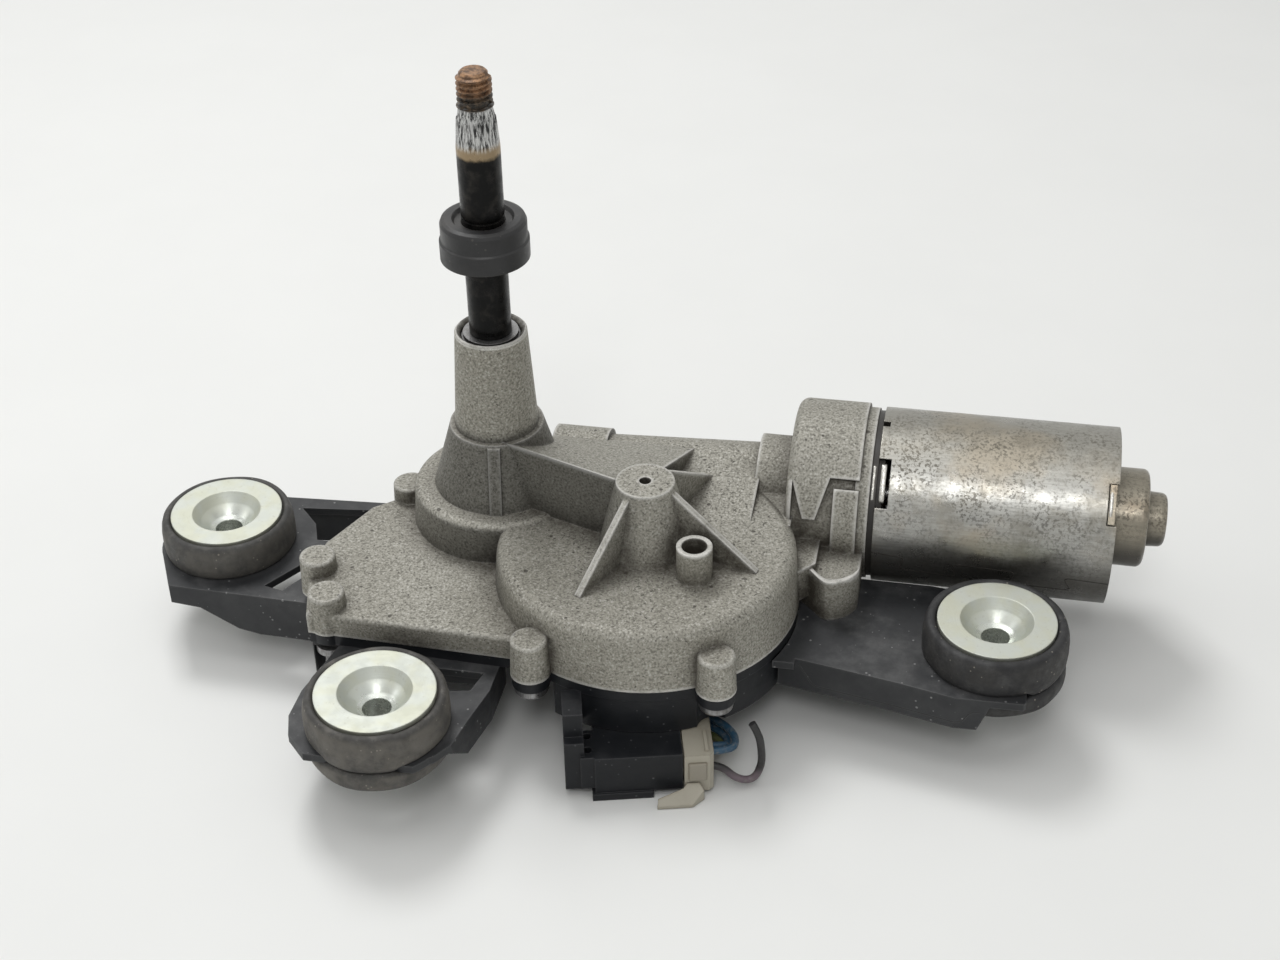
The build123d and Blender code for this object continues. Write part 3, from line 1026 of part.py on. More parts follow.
def contact_fingers():
    """Three leaf contacts from the board up to the park disc."""
    z0 = BOARD_Z + BOARD_THICKNESS
    top = WEB_BOTTOM - PARK_DISC_HEIGHT - 0.1
    fingers = []
    for i, radius in enumerate((18.0, 21.5, 25.0)):
        x, y = polar(radius, -60, WHEEL_X, WHEEL_Y)
        points = [(-3, z0), (-3, z0 + 5), (0, top), (0.5, top), (2, top - 1.2), (2, top - 1.9), (0.7, top - 0.9),
                  (0.4, top - 0.9), (-2.4, z0 + 4.8), (-2.4, z0)]
        fingers.append(upright(points, x, y, 30, 2.0))
    return fingers


def plug_body():
    """Grey harness plug: a head outside the shell and a nose inside it."""
    x0 = SHELL_LENGTH + PLUG_PLAY
    head = block(x0, -0.4, 1.2, x0 + PLUG_HEAD, PLUG_DEPTH, SHELL_TOP - 0.2)
    head = chamfer(head.edges().filter_by(Axis.Z).sort_by(Axis.X)[-2:], 1.0)
    head += block(x0 + PLUG_HEAD - 2.0, 0.8, SHELL_TOP - 0.4, x0 + PLUG_HEAD - 1.1, 7.4, SHELL_TOP + 0.4)
    head -= block(x0 + LOCK_X[0], -1.0, LOCK_Z[0], x0 + LOCK_X[1], 0.1, LOCK_Z[1])
    body = CONNECTOR * head
    body += socket_hollow(PLUG_PLAY) & (CONNECTOR * block(0, 0, 0, x0 + 1, 30, 30))
    mid = (SHELL_LIP + SHELL_TOP) / 2
    for i in range(PIN_COUNT):
        y = 2.8 + i * PIN_PITCH
        body -= CONNECTOR * block(0, y - 0.15, mid - 0.15, SHELL_LENGTH - 4.5, y + PIN_SIZE + 0.15,
                                  mid + PIN_SIZE + 0.15)
    face = x0 + PLUG_HEAD
    for y, z in WIRE_HOLES.values():
        hole = Rot(0, 90, 0) * disc(WIRE_R + WIRE_CLEAR, 0, WIRE_SOCKET + 1)
        body -= CONNECTOR * Pos(face - WIRE_SOCKET, y, z) * hole
    return body


def plug_lock():
    """Small locking wedge pressed in the plug's front."""
    x0 = SHELL_LENGTH + PLUG_PLAY
    wedge = block(x0 + LOCK_X[0], -1.1, LOCK_Z[0], x0 + LOCK_X[1], 0.1, LOCK_Z[1])
    return CONNECTOR * fillet(wedge.edges().group_by(Axis.Y)[0], 0.3)


def plug_latch():
    """Sprung latch in front of the plug, its tip hooked under the shell."""
    x0 = SHELL_LENGTH + PLUG_PLAY
    plan = [(x0 - 6.6, LATCH_FRONT), (x0 + 1.6, LATCH_FRONT), (x0 + 4.4, -2.2), (x0 + 3.4, LATCH_BACK),
            (x0 + 0.6, LATCH_BACK), (x0 - 0.4, -1.6), (x0 - 6.3, -3.2)]
    arm = prism(outline(plan), 0.1, LATCH_RISE)
    over = [(LATCH_FRONT - 1, 0.2), (LATCH_FRONT, 0.9), (LATCH_BACK, LATCH_RISE - 0.1), (1, LATCH_RISE + 2),
            (1, 9), (LATCH_FRONT - 1, 9)]
    return CONNECTOR * (arm - upright(over, x0, 0, 90, 30))


def leaving(colour, out):
    """First two points of a wire: the bottom of its hole in the plug and a point straight out of it."""
    y, z = WIRE_HOLES[colour]
    a = radians(CONNECTOR_TURN)
    face = SHELL_LENGTH + PLUG_PLAY + PLUG_HEAD
    return [(CONNECTOR_AT[0] + x * cos(a) - y * sin(a), CONNECTOR_AT[1] + x * sin(a) + y * cos(a), z)
            for x in (face - WIRE_SOCKET, face + out)]


def wire(points):
    """Round cord along straight runs joined by tangent arcs, each as large as its runs allow."""
    places = [Vector(*p) for p in points]
    radii = []
    for a, b, c in zip(places, places[1:], places[2:]):
        turn = (b - a).get_angle(c - b)
        shorter = min((b - a).length, (c - b).length)
        radii.append(0.45 * shorter / tan(radians(turn) / 2))
    print("wire bends", [round(r, 1) for r in radii])
    path = FilletPolyline(*places, radius=radii)
    print("wire length", round(path.length, 1))
    return sweep(Plane(origin=path @ 0, z_dir=path % 0) * Circle(WIRE_R), path)


WIRES = {
    "wire_blue_a": leaving("blue_a", 1.4) + [(66.9, -53.6, 9.9), (66.4, -49.6, 9.8), (63.6, -46.2, 9.6),
                                             (58.8, -43.2, 9.3), (54.0, -40.6, 8.8), (50.2, -37.6, 8.2)],
    "wire_blue_b": leaving("blue_b", 1.0) + [(64.9, -51.8, 8.6), (64.4, -48.6, 8.0), (61.4, -45.2, 7.2),
                                             (56.8, -42.4, 6.7), (51.6, -40.2, 6.2), (46.4, -39.2, 5.8)],
    "wire_green": leaving("green", 0.9) + [(64.6, -50.4, 6.0), (63.4, -47.2, 5.0), (59.8, -44.2, 4.3),
                                           (54.4, -41.6, 3.7), (48.6, -39.6, 3.3), (43.0, -38.6, 3.2)],
    "wire_white": leaving("white", 0.9) + [(63.4, -47.4, 2.4), (61.6, -44.4, 1.6), (57.4, -42.4, 1.4),
                                           (51.8, -41.6, 1.2), (46.2, -42.0, 1.2), (40.8, -43.4, 1.2)],
    "wire_violet": leaving("violet", 1.6) + [(67.8, -56.6, 2.9), (71.6, -55.0, 1.8), (73.3, -54.4, 6.4),
                                             (73.2, -55.0, 11.8), (72.6, -55.6, 16.6), (70.9, -55.2, 19.4)],
}


NODES = {
    "gear_housing": gear_housing, "base_cover": base_cover, "cover_gasket": gasket,
    "mounting_bracket": mounting_bracket, "cover_screws": cover_screws,
    "tower_upper_bush": lambda: ring(BUSH_R, SPINDLE_R + RUNNING, TOWER_TOP - SEAL_SEAT_DEPTH - BUSH_LENGTH,
                                     TOWER_TOP - SEAL_SEAT_DEPTH),
    "tower_lower_bush": lambda: ring(BUSH_R, SPINDLE_R + RUNNING, BUSH_BOTTOM, BUSH_BOTTOM + BUSH_LENGTH),
    "shaft_seal": lambda: ring(SEAL_SEAT_R, SPINDLE_R + RUNNING, TOWER_TOP - SEAL_SEAT_DEPTH,
                               TOWER_TOP - SEAL_SEAT_DEPTH + SEAL_HEIGHT),
    "spindle_washer": lambda: ring(SEAL_SEAT_R - 0.2, SPINDLE_R + RUNNING, TOWER_TOP - SEAL_SEAT_DEPTH + SEAL_HEIGHT,
                                   TOWER_TOP - SEAL_SEAT_DEPTH + SEAL_HEIGHT + WASHER_HEIGHT),
    "thrust_washer": lambda: ring(BUSH_R + 1.5, SPINDLE_R + RUNNING, THRUST_WASHER_BOTTOM, BUSH_BOTTOM),
    "spindle_circlip": lambda: ring(CIRCLIP_R, SPINDLE_R - CIRCLIP_GROOVE,
                                    TOWER_TOP - SEAL_SEAT_DEPTH + SEAL_HEIGHT + WASHER_HEIGHT + 0.1,
                                    TOWER_TOP - SEAL_SEAT_DEPTH + SEAL_HEIGHT + WASHER_HEIGHT + 0.1 + CIRCLIP_HEIGHT),
    "output_spindle": output_spindle, "seal_collar": seal_collar, "drive_pinion": drive_pinion,
    "link_plate": link_plate, "sector_arm": sector_arm,
    "sector_pin": lambda: disc(SECTOR_PIN_R, LINK_BOTTOM, SECTOR_TOP, *SECTOR_AT),
    "worm_wheel": worm_wheel, "crank_pin": crank_pin, "park_disc": park_disc,
    "wheel_axle": wheel_axle, "axle_clip": axle_clip,
    "armature_shaft": armature_shaft, "armature_core": armature_core, "armature_windings": armature_windings,
    "commutator": commutator,
    "motor_can": motor_can, "end_cap": end_cap, "magnets": magnets, "brush_plate": brush_plate,
    "carbon_brushes": carbon_brushes, "brush_springs": brush_springs,
    "front_bearing": lambda: lying(ring(BEARING_R, SHAFT_R + RUNNING, BLOCK_X - BEARING_WIDTH, BLOCK_X)),
    "rear_bush": lambda: lying(ring(END_BUSH_R, SHAFT_R + RUNNING, CAP_END - CAP_WALL - END_BUSH_LENGTH - 0.5,
                                    CAP_END - CAP_WALL)),
    "worm_end_bush": lambda: lying(ring(END_BUSH_R, SHAFT_R + RUNNING, TUNNEL_END_X + WALL + 0.6,
                                        TUNNEL_END_X + WALL + END_BUSH_LENGTH)),
    "thrust_pad": lambda: lying(disc(END_BUSH_R - 1.0, TUNNEL_END_X + WALL - 1, TUNNEL_END_X + WALL + 0.6)),
    "circuit_board": circuit_board, "board_components": board_components, "contact_fingers": contact_fingers,
    "connector_pins": connector_pins,
    "harness_plug": plug_body, "plug_lock": plug_lock, "plug_latch": plug_latch,
}

os.makedirs("parts", exist_ok=True)
for letter, (x, y) in DAMPERS.items():
    NODES["rubber_damper_" + letter] = lambda x=x, y=y: rubber_damper(x, y)
    NODES["damper_sleeve_" + letter] = lambda x=x, y=y: damper_sleeve(x, y)
for name, route in WIRES.items():
    NODES[name] = lambda route=route: wire(route)

print("sweep", round(SWEEP, 3), "link ratio", round(LINK_SWING / SWEEP, 5), "arm ratio", round(ARM_SWING / SWEEP, 5),
      "sector pin", SECTOR_AT, "crank pin", CRANK_AT)
for name, make in NODES.items():
    made = make()
    solids = made if isinstance(made, list) else [made]
    shape = Compound(children=[s for part in solids for s in part.solids()]) if len(solids) > 1 else solids[0]
    export_step(shape, "parts/" + name + ".step")
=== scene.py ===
import json
import logging
import math
import random
from dataclasses import dataclass, field
from enum import Enum
from functools import partial
from typing import Callable, Dict, List, Optional, Sequence, Tuple

import bmesh
import bpy
from mathutils import Matrix, Vector
from mathutils.bvhtree import BVHTree


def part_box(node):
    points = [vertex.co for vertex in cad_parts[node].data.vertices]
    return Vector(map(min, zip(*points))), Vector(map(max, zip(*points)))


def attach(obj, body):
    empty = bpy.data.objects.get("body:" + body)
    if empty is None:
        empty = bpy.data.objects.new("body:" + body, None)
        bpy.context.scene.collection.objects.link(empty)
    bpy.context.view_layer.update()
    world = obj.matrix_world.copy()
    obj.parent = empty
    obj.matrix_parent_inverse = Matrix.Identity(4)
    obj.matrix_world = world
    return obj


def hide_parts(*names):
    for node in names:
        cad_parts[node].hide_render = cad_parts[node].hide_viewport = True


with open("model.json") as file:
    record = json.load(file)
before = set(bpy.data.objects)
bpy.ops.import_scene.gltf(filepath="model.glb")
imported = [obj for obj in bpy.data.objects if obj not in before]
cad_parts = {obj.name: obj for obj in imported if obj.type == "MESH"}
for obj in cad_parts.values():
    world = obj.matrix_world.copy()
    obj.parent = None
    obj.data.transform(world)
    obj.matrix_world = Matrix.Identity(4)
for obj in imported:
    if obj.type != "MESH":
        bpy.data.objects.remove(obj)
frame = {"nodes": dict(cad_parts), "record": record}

log = logging.getLogger("wiper_motor")
logging.basicConfig(level=logging.INFO, format="%(message)s")

MM = 0.001
Colour = Tuple[float, float, float]
Place = Tuple[float, float, float]
Socket = bpy.types.NodeSocket


class Body(Enum):
    """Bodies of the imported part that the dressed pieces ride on."""

    HOUSING = "housing"
    PLUG = "plug"


class Axis(Enum):
    """Direction along which a brushed or drawn surface runs."""

    X = 0
    Y = 1
    Z = 2


class Recipe:
    """Shader nodes of one finish, with the patterns that the finishes share. Sizes are in millimetres."""

    def __init__(self, name: str) -> None:
        """Start a material with its object coordinates.

        Args:
            name: The material's name.
        """
        self.material = bpy.data.materials.new(name)
        self.material.use_nodes = True
        self.tree = self.material.node_tree
        self.shader = self.tree.nodes["Principled BSDF"]
        self.place: Socket = self.tree.nodes.new("ShaderNodeTexCoord").outputs["Object"]
        self.facing: Socket = self.tree.nodes.new("ShaderNodeNewGeometry").outputs["Normal"]

    def put(self, node: bpy.types.Node, key: object, value: object) -> None:
        """Link or set one input of a node."""
        socket = node.inputs[key]
        if isinstance(value, bpy.types.NodeSocket):
            self.tree.links.new(value, socket)
        elif isinstance(value, tuple) and len(value) == 3 and socket.type == "RGBA":
            socket.default_value = (*value, 1.0)
        else:
            socket.default_value = value

    def sheet(self, key: str, value: object) -> None:
        """Link or set one input of the finish's shader."""
        self.put(self.shader, key, value)

    def noise(self, size: float, detail: float = 3.0, rough: float = 0.6,
              place: Optional[Socket] = None) -> Socket:
        """Cloudy pattern.

        Args:
            size: Width of one cloud in millimetres.
            detail: Octaves.
            rough: Weight of the finer octaves.
            place: Coordinates, when they aren't the object's own.

        Returns:
            The pattern, about 0 to 1.
        """
        node = self.tree.nodes.new("ShaderNodeTexNoise")
        self.put(node, "Vector", place or self.place)
        self.put(node, "Scale", 1.0 / (size * MM))
        self.put(node, "Detail", detail)
        self.put(node, "Roughness", rough)
        return node.outputs["Fac"]

    def flecks(self, size: float, share: float, edge: float = 0.1, place: Optional[Socket] = None) -> Socket:
        """Scattered small spots.

        Args:
            size: Mean distance of the spots in millimetres.
            share: Radius of a spot as a share of that distance.
            edge: Softness of a spot's edge, in the same share.
            place: Coordinates, when they aren't the object's own.

        Returns:
            1 in a spot and 0 outside.
        """
        node = self.tree.nodes.new("ShaderNodeTexVoronoi")
        self.put(node, "Vector", place or self.place)
        self.put(node, "Scale", 1.0 / (size * MM))
        wander = self.ramp(self.noise(size * 2.3, 1.0), 0.35, 0.7, 0.25, 1.0)
        limit = self.math("MULTIPLY", wander, share)
        gap = self.math("SUBTRACT", limit, node.outputs["Distance"])
        return self.ramp(gap, 0.0, edge)

    def ramp(self, value: Socket, low: float, high: float, start: float = 0.0, end: float = 1.0) -> Socket:
        """Smooth step of a value between two limits.

        Args:
            value: The value.
            low: Where the step begins.
            high: Where it ends.
            start: Result up to low.
            end: Result from high on.

        Returns:
            The stepped value.
        """
        node = self.tree.nodes.new("ShaderNodeMapRange")
        node.interpolation_type = "SMOOTHSTEP"
        for key, number in zip(("From Min", "From Max", "To Min", "To Max"), (low, high, start, end)):
            self.put(node, key, number)
        self.put(node, "Value", value)
        return node.outputs["Result"]

    def math(self, operation: str, first: object, second: object = 0.0) -> Socket:
        """One arithmetic step."""
        node = self.tree.nodes.new("ShaderNodeMath")
        node.operation = operation
        self.put(node, 0, first)
        self.put(node, 1, second)
        return node.outputs[0]

    def tint(self, share: object, under: object, over: object) -> Socket:
        """Lay one colour over another by a share."""
        node = self.tree.nodes.new("ShaderNodeMix")
        node.data_type = "RGBA"
        for key, value in ((0, share), (6, under), (7, over)):
            self.put(node, key, value)
        return node.outputs[2]

    def along(self, axis: Axis, source: Optional[Socket] = None) -> Socket:
        """One coordinate in metres, or one part of another vector."""
        node = self.tree.nodes.new("ShaderNodeSeparateXYZ")
        self.put(node, 0, source or self.place)
        return node.outputs[axis.value]

    def drawn(self, axis: Axis, stretch: float) -> Socket:
        """Coordinates stretched along one axis, for brushed or drawn marks."""
        node = self.tree.nodes.new("ShaderNodeMapping")
        self.put(node, "Vector", self.place)
        scale = [1.0, 1.0, 1.0]
        scale[axis.value] = 1.0 / stretch
        self.put(node, "Scale", tuple(scale))
        return node.outputs[0]

    def radius(self, centre: Tuple[float, float]) -> Socket:
        """Distance in metres from an upright axis.

        Args:
            centre: The axis's x and y in millimetres.

        Returns:
            The distance.
        """
        node = self.tree.nodes.new("ShaderNodeMapping")
        self.put(node, "Vector", self.place)
        self.put(node, "Location", (-centre[0] * MM, -centre[1] * MM, 0.0))
        self.put(node, "Scale", (1.0, 1.0, 0.0))
        reach = self.tree.nodes.new("ShaderNodeVectorMath")
        reach.operation = "LENGTH"
        self.put(reach, 0, node.outputs[0])
        return reach.outputs["Value"]

    def crevice(self, reach: float) -> Socket:
        """Where the surface is closed in, 0 to 1, looking as far as reach millimetres."""
        node = self.tree.nodes.new("ShaderNodeAmbientOcclusion")
        node.samples = 6
        self.put(node, "Distance", reach * MM)
        return self.ramp(node.outputs["AO"], 0.35, 0.95, 1.0, 0.0)

    def ridge(self, reach: float) -> Socket:
        """Where the surface is an outer edge, 0 to 1."""
        node = self.tree.nodes.new("ShaderNodeAmbientOcclusion")
        node.samples = 6
        node.inside = True
        self.put(node, "Distance", reach * MM)
        return self.ramp(node.outputs["AO"], 0.50, 0.92, 1.0, 0.0)

    def soften(self, radius: float) -> Socket:
        """Normal with the edges rounded by a radius in millimetres."""
        node = self.tree.nodes.new("ShaderNodeBevel")
        node.samples = 6
        self.put(node, "Radius", radius * MM)
        return node.outputs["Normal"]

    def relief(self, height: Socket, depth: float, under: Optional[Socket] = None) -> Socket:
        """Bump of a height pattern.

        Args:
            height: The pattern, 0 to 1.
            depth: Height of the relief in millimetres.
            under: A normal that it stands on.

        Returns:
            The changed normal.
        """
        node = self.tree.nodes.new("ShaderNodeBump")
        self.put(node, "Height", height)
        self.put(node, "Distance", depth * MM)
        self.put(node, "Strength", 1.0)
        if under is not None:
            self.put(node, "Normal", under)
        return node.outputs[0]


@dataclass(frozen=True)
class CastAluminium:
    """Die-cast aluminium, bare and soiled: fine casting grain, dark specks, worn bright edges, with painted
    shade in crevices and on the pedestal's walls, and painted light on the other walls.

    Attributes:
        name: The material's name.
        clean: Colour of the bare metal.
        soiled: Colour of the thin dirt film.
        worn: Colour of rubbed edges.
        grime: Colour of the dark specks.
        heavy: Middle of the round, where the specks lie thickest, in millimetres.
        shade_middle: Middle of the pedestal's and web's walls. Painted shade darkens faces that don't face up
            near it, and painted light brightens them farther off.
    """

    name: str = "cast aluminium"
    clean: Colour = (0.300, 0.290, 0.252)
    soiled: Colour = (0.215, 0.204, 0.168)
    worn: Colour = (0.60, 0.59, 0.56)
    grime: Colour = (0.040, 0.034, 0.027)
    heavy: Tuple[float, float] = (40.2, -19.2)
    shade_middle: Tuple[float, float] = (12.0, -6.0)

    def mix(self) -> bpy.types.Material:
        """Make the material."""
        r = Recipe(self.name)
        up = r.ramp(r.along(Axis.Z, r.facing), 0.3, 0.9)
        film = r.ramp(r.noise(34.0, 2.0, 0.5), 0.36, 0.68, 0.0, 0.5)
        colour = r.tint(film, self.clean, self.soiled)
        cast = r.noise(0.55, 2.0, 0.6)
        colour = r.tint(r.ramp(cast, 0.50, 0.64, 0.0, 0.62), colour, tuple(0.45 * c for c in self.soiled))
        colour = r.tint(r.ramp(cast, 0.30, 0.44, 0.4, 0.0), colour, self.worn)
        near = r.ramp(r.radius(self.heavy), 0.034, 0.042, 1.0, 0.35)
        patch = r.ramp(r.noise(12.0, 3.0, 0.55), 0.36, 0.62, 0.15, 1.0)
        dense = r.math("MULTIPLY", r.math("MULTIPLY", near, patch), up)
        dots = r.noise(0.8, 3.0, 0.6)
        limit = r.math("ADD", dots, r.math("MULTIPLY", dense, 0.045))
        colour = r.tint(r.ramp(limit, 0.645, 0.685, 0.0, 0.8), colour, self.grime)
        crumbs = r.math("MULTIPLY", r.flecks(3.4, 0.20, 0.05), up)
        colour = r.tint(r.math("MULTIPLY", crumbs, 0.85), colour, self.grime)
        rub = r.math("MULTIPLY", r.ridge(1.2), r.ramp(r.noise(4.0, 3.0), 0.28, 0.52, 0.45, 1.0))
        colour = r.tint(rub, colour, self.worn)
        # Painted shade: crevices are darkened towards a near-black brown, where shade falls.
        crevice_shade = r.math("MULTIPLY", r.crevice(9.0), r.ramp(r.noise(2.4, 4.0), 0.25, 0.6, 0.45, 0.95))
        colour = r.tint(crevice_shade, colour, (0.045, 0.038, 0.029))
        # Painted shade and light: faces that don't face up are darkened to about half near the pedestal and
        # web, and brightened by up to a fifth farther off and high up.
        apart = r.ramp(r.radius(self.shade_middle), 0.016, 0.046)
        zone = r.math("MAXIMUM", apart, r.ramp(r.along(Axis.Z), 0.057, 0.062))
        wall_light_and_shade = r.ramp(zone, 0.0, 1.0, 0.48, 1.18)
        side = r.ramp(r.along(Axis.Z, r.facing), 0.25, 0.75, wall_light_and_shade, 1.0)
        shade = r.tree.nodes.new("ShaderNodeHueSaturation")
        r.put(shade, "Color", colour)
        r.put(shade, "Value", side)
        r.sheet("Base Color", shade.outputs[0])
        r.sheet("Metallic", 0.3)
        r.sheet("Roughness", r.ramp(cast, 0.3, 0.7, 0.52, 0.72))
        height = r.math("ADD", r.math("MULTIPLY", cast, 0.7), r.math("MULTIPLY", r.noise(2.6, 3.0), 0.6))
        r.sheet("Normal", r.relief(height, 0.12, r.soften(0.7)))
        return r.material


@dataclass(frozen=True)
class ZincSheet:
    """Rolled steel sheet with dull zinc: faint drawn marks, specks and tan stains, with painted shade on its
    underside and in crevices.

    Attributes:
        name: The material's name.
        clean: Colour of the zinc.
        stain: Colour of the tan stains.
        grime: Colour of the specks.
        along: Direction of the drawn marks.
    """

    name: str = "zinc sheet"
    clean: Colour = (0.44, 0.435, 0.41)
    stain: Colour = (0.42, 0.345, 0.245)
    grime: Colour = (0.045, 0.040, 0.032)
    along: Axis = Axis.X

    def mix(self) -> bpy.types.Material:
        """Make the material."""
        r = Recipe(self.name)
        drawn = r.noise(0.5, 2.0, 0.6, r.drawn(self.along, 14.0))
        colour = r.tint(r.ramp(drawn, 0.3, 0.7), self.clean, tuple(0.8 * c for c in self.clean))
        colour = r.tint(r.ramp(r.noise(26.0, 4.0, 0.6), 0.48, 0.68, 0.0, 0.6), colour, self.stain)
        patch = r.ramp(r.noise(15.0, 4.0, 0.65), 0.36, 0.60, 0.1, 1.0)
        above = r.ramp(r.along(Axis.Z, r.facing), 0.1, 0.75, 0.45, 1.0)
        specks = r.ramp(r.noise(0.75, 3.0, 0.65), 0.49, 0.60)
        cover = r.math("MULTIPLY", r.math("MULTIPLY", patch, above), 0.85)
        colour = r.tint(r.math("MULTIPLY", specks, cover), colour, self.grime)
        top = r.ramp(r.along(Axis.Z, r.facing), 0.70, 0.95, 0.0, 0.5)
        film = r.math("MAXIMUM", r.ramp(r.noise(9.0, 5.0, 0.7), 0.42, 0.70, 0.0, 0.6), top)
        colour = r.tint(film, colour, (0.20, 0.185, 0.15))
        # Painted shade: the sheet is darkened where it faces down.
        under = r.ramp(r.along(Axis.Z, r.facing), -0.35, 0.35, 0.85, 0.0)
        colour = r.tint(under, colour, (0.075, 0.072, 0.066))
        # Painted shade: crevices are darkened.
        colour = r.tint(r.math("MULTIPLY", r.crevice(3.0), 0.8), colour, (0.05, 0.045, 0.038))
        r.sheet("Base Color", colour)
        r.sheet("Metallic", 0.8)
        r.sheet("Roughness", r.ramp(r.noise(4.0, 4.0), 0.3, 0.7, 0.25, 0.42))
        height = r.math("ADD", r.math("MULTIPLY", drawn, 0.4), r.noise(0.9, 2.0))
        r.sheet("Normal", r.relief(height, 0.03, r.soften(0.35)))
        return r.material


@dataclass(frozen=True)
class MouldedPlastic:
    """Moulded plastic with fine grain, dust in its corners and paler rubbed edges.

    Attributes:
        name: The material's name.
        base: Colour of the plastic.
        dust: Colour of the dust.
        rough: Roughness of the clean surface.
        dusty: How much dust lies on it, 0 to 1.
        specks: How strong the small pale specks are.
        gloss: Level of its mirror-like part.
    """

    name: str
    base: Colour
    dust: Colour = (0.16, 0.155, 0.15)
    rough: float = 0.42
    dusty: float = 0.35
    specks: float = 0.5
    gloss: float = 0.5

    def mix(self) -> bpy.types.Material:
        """Make the material."""
        r = Recipe(self.name)
        clouds = r.ramp(r.noise(15.0, 5.0, 0.7), 0.42, 0.75)
        up = r.ramp(r.along(Axis.Z, r.facing), 0.0, 0.9, 0.25, 1.0)
        veil = r.math("MULTIPLY", r.math("MULTIPLY", clouds, up), self.dusty)
        colour = r.tint(veil, self.base, self.dust)
        colour = r.tint(r.math("MULTIPLY", r.crevice(2.5), 0.4 * self.dusty), colour, self.dust)
        colour = r.tint(r.math("MULTIPLY", r.ridge(0.5), 0.25), colour, self.dust)
        spots = r.math("MULTIPLY", r.flecks(1.9, 0.2, 0.08), self.specks)
        colour = r.tint(spots, colour, tuple(min(1.0, 1.5 * c) for c in self.dust))
        r.sheet("Base Color", colour)
        r.sheet("Specular IOR Level", self.gloss)
        r.sheet("Roughness", r.ramp(r.noise(6.0, 4.0), 0.3, 0.7, self.rough - 0.06, self.rough + 0.14))
        grain = r.math("ADD", r.noise(0.35, 2.0), r.math("MULTIPLY", r.noise(3.5, 3.0), 0.4))
        r.sheet("Normal", r.relief(grain, 0.02, r.soften(0.3)))
        return r.material


@dataclass(frozen=True)
class SoftRubber:
    """Black rubber gone grey, with scuffs, dust and a few short cracks.

    Attributes:
        name: The material's name.
        base: Colour of the rubber.
        worn: Colour of dusty and scuffed places.
        sides: How brown its upright sides are, 0 to 1.
    """

    name: str
    base: Colour = (0.032, 0.031, 0.031)
    worn: Colour = (0.13, 0.12, 0.105)
    sides: float = 0.3

    def mix(self) -> bpy.types.Material:
        """Make the material."""
        r = Recipe(self.name)
        scuff = r.ramp(r.noise(5.0, 6.0, 0.75), 0.46, 0.74, 0.0, 0.75)
        colour = r.tint(scuff, self.base, self.worn)
        flat = r.math("ABSOLUTE", r.along(Axis.Z, r.facing))
        side = r.math("MULTIPLY", r.ramp(flat, 0.2, 0.7, 1.0, 0.0), self.sides)
        browned = r.math("MULTIPLY", side, r.ramp(r.noise(7.0, 4.0), 0.3, 0.6))
        colour = r.tint(browned, colour, (0.125, 0.116, 0.10))
        colour = r.tint(r.flecks(1.6, 0.18, 0.08), colour, (0.22, 0.2, 0.17))
        r.sheet("Base Color", colour)
        r.sheet("Roughness", r.ramp(r.noise(3.0, 4.0), 0.3, 0.7, 0.55, 0.8))
        folds = r.noise(1.3, 5.0, 0.75)
        r.sheet("Normal", r.relief(folds, 0.12, r.soften(0.45)))
        return r.material


@dataclass(frozen=True)
class ZincWasher:
    """Bright zinc with a faint yellow and green lustre, turned marks round its own axis, a painted highlight
    in its cup and painted shade in its crevices.

    Attributes:
        name: The material's name.
        centre: Axis of the washer, in millimetres.
        bright: Colour of the zinc.
        lustre: Colour of its yellow tint.
    """

    name: str
    centre: Tuple[float, float]
    bright: Colour = (0.50, 0.52, 0.485)
    lustre: Colour = (0.50, 0.505, 0.41)

    def mix(self) -> bpy.types.Material:
        """Make the material."""
        r = Recipe(self.name)
        reach = r.radius(self.centre)
        rings = r.tree.nodes.new("ShaderNodeTexNoise")
        rings.noise_dimensions = "1D"
        r.put(rings, "W", reach)
        r.put(rings, "Scale", 3500.0)
        cup = r.ramp(reach, 0.0035, 0.0085, 1.0, 0.0)
        colour = r.tint(r.ramp(r.noise(6.0, 2.0), 0.35, 0.65, 0.1, 0.75), self.bright, self.lustre)
        # Painted highlight: the cup is lightened.
        colour = r.tint(r.math("MULTIPLY", cup, 0.5), colour, (0.66, 0.69, 0.66))
        colour = r.tint(r.ramp(r.noise(1.2, 4.0, 0.7), 0.58, 0.72, 0.0, 0.35), colour, (0.33, 0.31, 0.26))
        # Painted shade: crevices and the hole's mouth are darkened.
        colour = r.tint(r.math("MULTIPLY", r.crevice(1.0), 0.3), colour, (0.2, 0.19, 0.16))
        r.sheet("Base Color", colour)
        r.sheet("Metallic", 0.75)
        dull = r.math("SUBTRACT", 0.56, r.math("MULTIPLY", cup, 0.30))
        r.sheet("Roughness", r.math("ADD", dull, r.ramp(r.noise(2.5, 3.0), 0.3, 0.7, -0.05, 0.05)))
        height = r.math("ADD", r.math("MULTIPLY", rings.outputs["Fac"], 0.5), r.noise(2.2, 3.0))
        r.sheet("Normal", r.relief(height, 0.035, r.soften(0.4)))
        return r.material


